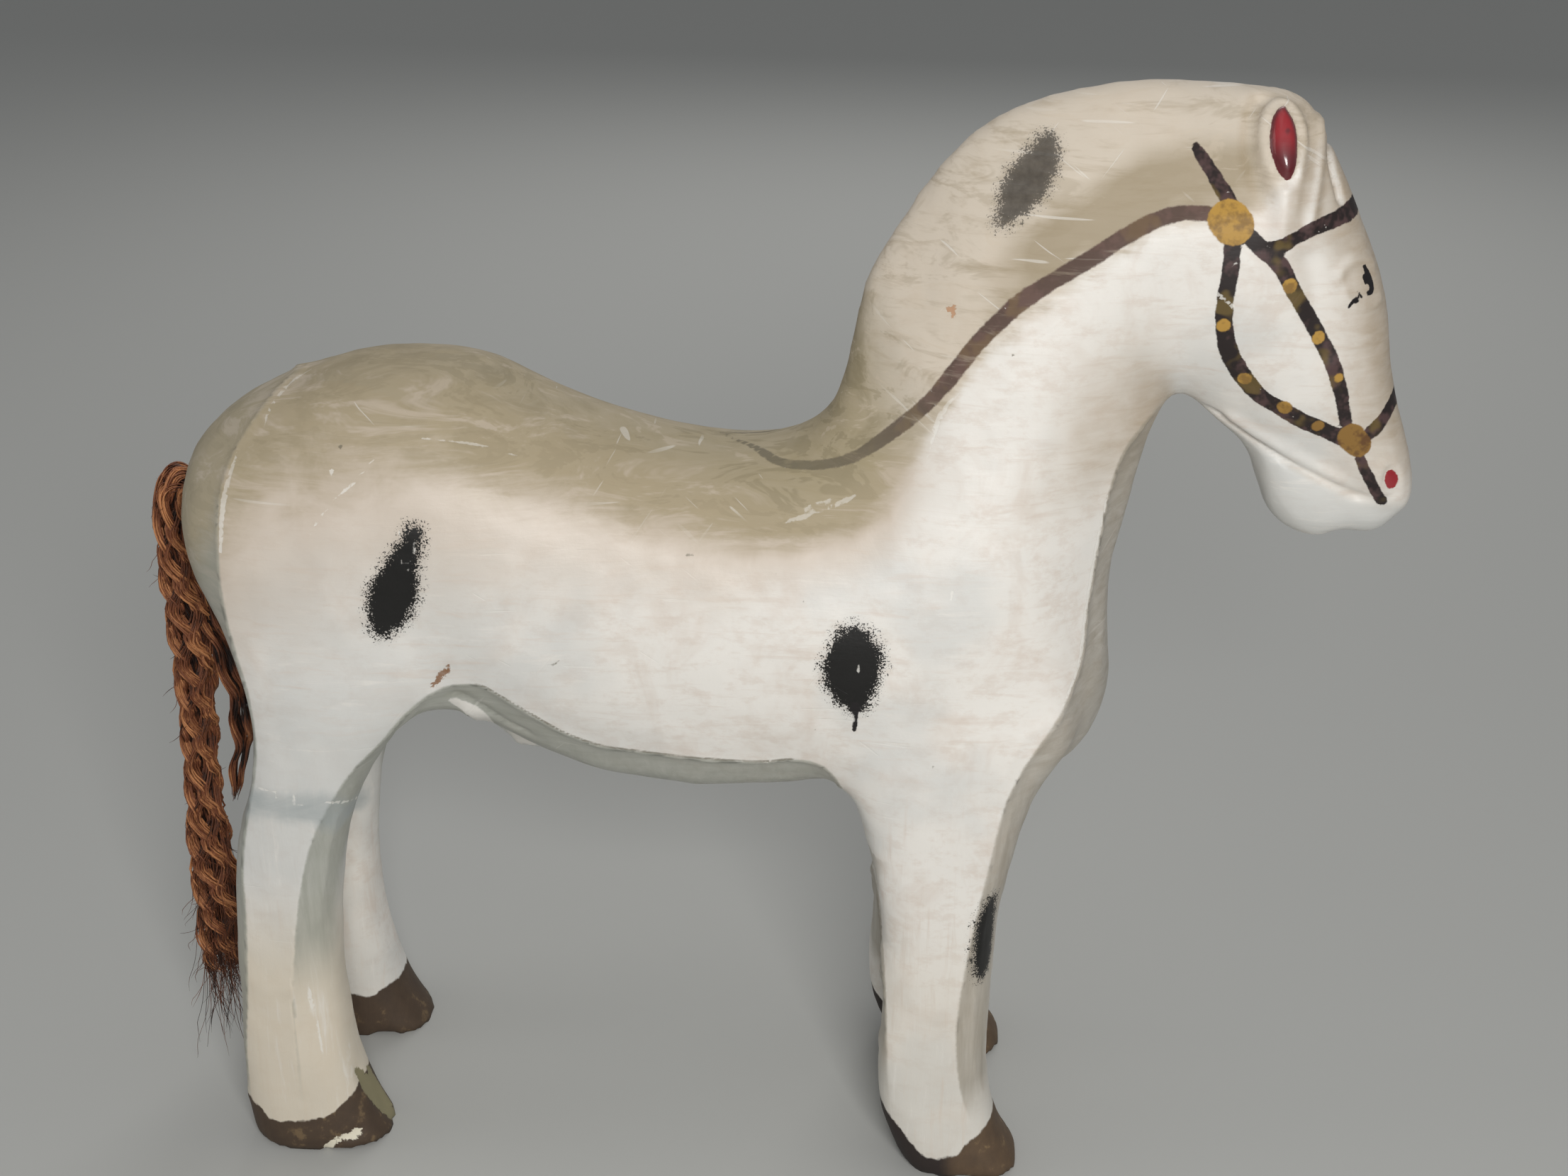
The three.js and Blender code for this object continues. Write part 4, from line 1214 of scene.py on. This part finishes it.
def edgesAlong(rows, count):
    # The middle, the half vector from outer to inner edge, and the half width along a lock
    row = np.array(rows)
    zero = np.zeros(len(row))
    outer = np.stack([row[:, 0], zero, row[:, 1] + tailSocket["height"]], axis=-1)
    inner = np.stack([row[:, 2], zero, row[:, 3] + tailSocket["height"]], axis=-1)
    curve = through(np.stack([outer, inner, np.stack([row[:, 4]] * 3, axis=-1)], axis=1), count)
    outer, inner = inPlace(curve[:, 0]), inPlace(curve[:, 1])
    return (outer + inner) / 2, (inner - outer) / 2, curve[:, 2, 0] * share


def strandsOf(rows, locks, inLock, rings, draw, spread, tone):
    # Each strand: the middle + half vector * a + Y * half width * b. Its lock stands on a ring about the
    # middle and swings to and fro round it, each lock against its neighbours, and the strand keeps its
    # own place in the lock. The crests are lighter, a painted highlight, and the strands nearer the
    # middle are darker, painted shade.
    middle, half, width = edgesAlong(rows, rings)
    run = np.concatenate([[0], np.cumsum(np.linalg.norm(np.diff(middle, axis=0), axis=1))])
    count = locks * inLock
    lock = np.repeat(np.arange(locks), inLock)
    phase = math.pi * lock + draw.uniform(-0.35, 0.35, locks)[lock] + draw.normal(0, 0.17, count)
    wave = 2 * np.pi * run[None, :] / hank["crimp"] + phase[:, None]
    swing = hank["swing"] * draw.uniform(0.8, 1.25, count)[:, None]
    angle = (2 * np.pi * lock / locks)[:, None] + swing * np.sin(wave)
    reach = spread * (1 + 0.16 * np.cos(wave + 0.6))
    own = hank["lockSize"] * np.sqrt(draw.uniform(0, 1, count))[:, None]
    ownTurn = draw.uniform(0, 2 * np.pi, count)[:, None] + run[None, :] * 2 * np.pi / 0.16
    frizz = 0.035 * np.sin(2 * np.pi * run[None, :] / 0.019 + draw.uniform(0, 2 * np.pi, count)[:, None])
    a = reach * np.cos(angle) + (own + frizz) * np.cos(ownTurn)
    b = reach * np.sin(angle) + (own + frizz) * np.sin(ownTurn)
    size = np.sqrt(a**2 + b**2)
    hold = np.where(size > 1.0, 1.0 / size, 1)
    a, b = a * hold, b * hold
    paths = middle[None] + half[None] * a[..., None]
    paths[..., 1] += width[None] * b
    # Painted light: the crests lighter as a highlight, and the strands nearer the middle darker as shade
    lightness = tone + draw.uniform(-0.2, 0.2, count)[:, None] + 0.22 * np.cos(wave + 0.6)
    return paths, lightness + 0.3 * (size.clip(0, 1) - 0.8)


def cutShort(paths, lightness, kept):
    # The strands shortened to the kept share of their length, on as many rings as before
    count, ringCount = paths.shape[:2]
    index = np.linspace(0, 1, ringCount)[None, :] * kept[:, None] * (ringCount - 1)
    low = np.minimum(index.astype(int), ringCount - 2)
    part = (index - low)[..., None]
    row = np.arange(count)[:, None]
    return paths[row, low] * (1 - part) + paths[row, low + 1] * part, lightness[row, low]


def tubes(paths, radii, sides):
    # A round skin about every path: the path + radius * (cos(turn) * first + sin(turn) * second), where
    # first lies across the path in the middle plane and second stands square to both
    strands, rings = paths.shape[:2]
    way = np.gradient(paths, axis=1)
    way /= np.linalg.norm(way, axis=-1, keepdims=True)
    first = np.cross(way, [0.0, 1.0, 0.0])
    first /= np.linalg.norm(first, axis=-1, keepdims=True)
    second = np.cross(way, first)
    turn = np.linspace(0, 2 * np.pi, sides, endpoint=False)
    ring = np.cos(turn)[:, None] * first[:, :, None] + np.sin(turn)[:, None] * second[:, :, None]
    points = (paths[:, :, None] + radii[:, :, None, None] * ring).reshape(-1, 3)
    grid = np.arange(rings * sides).reshape(rings, sides)
    beside = np.roll(grid, -1, axis=1)
    quads = np.stack([grid[:-1], grid[1:], beside[1:], beside[:-1]], axis=-1).reshape(-1, 4)
    starts = np.arange(strands)[:, None, None] * rings * sides
    faces = (quads[None] + starts).reshape(-1, 4).tolist()
    caps = np.stack([grid[0], grid[-1][::-1]])
    faces += (caps[None] + starts).reshape(-1, sides).tolist()
    return points, faces


def hairPiece(name, bundles, solids=()):
    # Bundles of strands (paths, lightness, radius, sides) and closed solids as one piece
    draw = np.random.default_rng(33)
    points, faces, tones, start = [], [], [], 0
    for paths, lightness, thick, sides in bundles:
        count, ringCount = paths.shape[:2]
        s = np.linspace(0, 1, ringCount)[None, :]
        radii = thick * draw.uniform(0.75, 1.25, (count, 1))
        radii = radii * (1 - 0.75 * smooth(0.85, 1, s)) * (0.5 + 0.5 * smooth(0, 0.03, s))
        tubePoints, tubeFaces = tubes(paths, radii, sides)
        points.append(tubePoints)
        faces += [[i + start for i in face] for face in tubeFaces]
        start += len(tubePoints)
        tones.append(np.repeat((lightness + 0 * s).ravel(), sides))
    for solidPoints, solidSets in solids:
        for solidSet in solidSets:
            faces += (solidSet + start).tolist()
        points.append(solidPoints)
        start += len(solidPoints)
        tones.append(np.full(len(solidPoints), hank["plugTone"]))
    piece = meshObject(name, np.concatenate(points), faces)
    layer = piece.data.attributes.new("tone", "FLOAT", "POINT")
    layer.data.foreach_set("value", np.concatenate(tones).astype(np.float32))
    fix = bmesh.new()
    fix.from_mesh(piece.data)
    bmesh.ops.recalc_face_normals(fix, faces=fix.faces)
    fix.to_mesh(piece.data)
    fix.free()
    piece.data.shade_smooth()
    piece.data.materials.append(tailFibre)
    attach(piece, "root")
    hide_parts("tail")
    print("tail:", name, len(piece.data.polygons), "faces")


def looseHairs(roots, drift, length, rings, draw):
    # Each hair leaves its root straight down and bends away by the square of the way that it has gone
    t = np.linspace(0, 1, rings)[None, :, None]
    paths = roots[:, None] + drift[:, None] * t**2 + length[:, None, None] * t * [0.0, 0.0, -1.0]
    curl = draw.uniform(0, 2 * np.pi, (len(roots), 1)) + t[..., 0] * 9
    paths[..., 0] += 0.0012 * np.sin(curl) * t[..., 0]
    paths[..., 1] += 0.0012 * np.cos(curl) * t[..., 0]
    paths[..., 0] = np.maximum(paths[..., 0], cadBox[0][0] - hank["behind"])
    paths[..., 2] = np.maximum(paths[..., 2], 0.004 + 0.004 * t[..., 0])
    return paths


# The fibre's colours from dark to light; the dark end also paints shade and the light end highlights
fibreRamp = {"dark": "1f0f09", "middle": "79462c", "light": "c8895a"}


def fibreMaterial():
    # Red-brown crimped fibre: each strand has its own tone, which also holds painted highlights on the
    # crests and painted shade in the hank's middle, with fine hairs along it
    material, tree, shader, start = newMaterial("tail_fibre")
    place = start.node("ShaderNodeTexCoord", None, None, 3)
    tone = start.node("ShaderNodeAttribute", {"attribute_name": "tone"}, None, 2)
    hairs = place.scaled(900.0, 900.0, 70.0).noise(1.0, 3.0, 0.6, 0.4)
    patch = place.noise(60.0, 2.0, 0.6)
    level = tone + (hairs - 0.5) * 0.6 + (patch - 0.5) * 0.5
    layers = [("dark", 1.0), ("middle", level.rise(0.05, 0.5)), ("light", level.rise(0.5, 1.0))]
    colour = coats(place, layers, fibreRamp)
    bump = start.node("ShaderNodeBump", None, {"Strength": 0.6, "Distance": 1.0, "Height": hairs * 0.0003})
    connect(tree, shader, {"Base Color": colour, "Roughness": 0.48 + 0.25 * hairs, "Normal": bump})
    return material


print("tail: strands")
tailFibre = fibreMaterial()
draw = np.random.default_rng(21)
rings, strand = hank["rings"], hank["strand"]
locks = strandsOf(tailBend, hank["locks"], hank["strandsInLock"], rings, draw, hank["spread"], hank["tone"])
locks = cutShort(*locks, draw.uniform(0.84, 1.0, len(locks[0])))
core = strandsOf(tailBend, hank["coreLocks"], hank["strandsInCore"], rings, draw,
                 hank["coreSpread"], hank["coreShade"])
core = cutShort(*core, draw.uniform(0.82, 0.97, len(core[0])))
side = strandsOf(lockBend, hank["sideLocks"], hank["strandsInSide"], rings // 2, draw,
                 hank["sideSpread"], hank["sideTone"])
side = cutShort(*side, draw.uniform(0.85, 1.0, len(side[0])))
picked = draw.integers(0, len(locks[0]), hank["wisps"])
roots = locks[0][picked, draw.integers(*hank["wispRings"], hank["wisps"])]
drift = draw.normal(0, 1, (hank["wisps"], 3)) * [0.009, 0.006, 0.002] + [0.003, 0, 0]
shortest, more = hank["wispLength"]
wisps = looseHairs(roots, drift, shortest + more * draw.uniform(0, 1, hank["wisps"]) ** 2, 16, draw)
picked = draw.integers(0, len(locks[0]), hank["flyaways"])
roots = locks[0][picked, draw.integers(*hank["flyawayRings"], hank["flyaways"])]
drift = draw.normal(0, 1, (hank["flyaways"], 3)) * [0.006, 0.009, 0.006] + [-0.002, 0, 0]
flyaways = looseHairs(roots, drift, draw.uniform(*hank["flyawayLength"], hank["flyaways"]), 14, draw)
plug = bar(tailSocket["diameter"] / 2 - tailSocket["clearance"], inPlace(np.array([-53.6, 0, 0]))[0],
           socketEnd - tailSocket["clearance"], 28, 30)
hairPiece("tail_locks", [(*locks, strand, hank["sides"])])
dim = lambda hairs: draw.uniform(0.1, 0.5, (len(hairs), 1))
hairPiece("tail_core", [(*core, strand, hank["sides"]), (*side, strand, hank["sides"]),
                        (wisps, dim(wisps), hank["wisp"], 3),
                        (flyaways, dim(flyaways), hank["flyaway"], 3)], [plug])

# The studio.
studio = {
    "floor": "b9bab7",
    "floorSize": 24.0,  # m across
    "air": (0.66, 0.67, 0.68, 1.0),
    "airStrength": 0.36,
    "aim": (0.0, 0.0, 0.33),  # m, the place that every lamp faces
    "warmth": (1.0, 0.985, 0.965),  # the lamps' colour
    "lamps": {  # place, watts, size across (m)
        "key": ((0.34, -1.56, 1.10), 18.8, 0.5),
        "over": ((-0.1, -0.1, 2.4), 4.0, 2.0),
        "back": ((0.2, 2.3, 1.7), 15.0, 1.6),
        "rear": ((-2.3, -0.2, 1.2), 4.0, 1.2),
    },
}
print("studio: floor, lamps and camera")
half = studio["floorSize"] / 2
corners = [[-half, -half, 0], [half, -half, 0], [half, half, 0], [-half, half, 0]]
floor = meshObject("floor", corners, [[0, 1, 2, 3]])
floorMaterial, _, floorShader, _ = newMaterial("floor")
floorShader.inputs["Base Color"].default_value = hue(studio["floor"])
floorShader.inputs["Roughness"].default_value = 0.8
floor.data.materials.append(floorMaterial)
world = bpy.data.worlds.new("air")
bpy.context.scene.world = world
world.use_nodes = True
world.node_tree.nodes["Background"].inputs[0].default_value = studio["air"]
world.node_tree.nodes["Background"].inputs[1].default_value = studio["airStrength"]
bpy.context.scene.view_settings.view_transform = "Standard"
for name, (spot, watts, size) in studio["lamps"].items():
    lampData = bpy.data.lights.new(name, "AREA")
    lampData.energy, lampData.size, lampData.color = watts, size, studio["warmth"]
    lamp = bpy.data.objects.new(name, lampData)
    lamp.location = spot
    lamp.rotation_euler = (Vector(studio["aim"]) - Vector(spot)).to_track_quat("-Z", "Y").to_euler()
    bpy.context.scene.collection.objects.link(lamp)
cameraData = bpy.data.cameras.new("camera")
cameraData.sensor_width = seenFrom["sensor"]
cameraData.lens = seenFrom["focal"] * seenFrom["sensor"] / seenFrom["size"][0]
cameraData.clip_end = 100.0
camera = bpy.data.objects.new("camera", cameraData)
camera.location = seenFrom["place"]
camera.rotation_euler = (math.pi / 2 - pitch, 0.0, yaw)
bpy.context.scene.collection.objects.link(camera)
bpy.context.scene.camera = camera

bpy.context.view_layer.update()
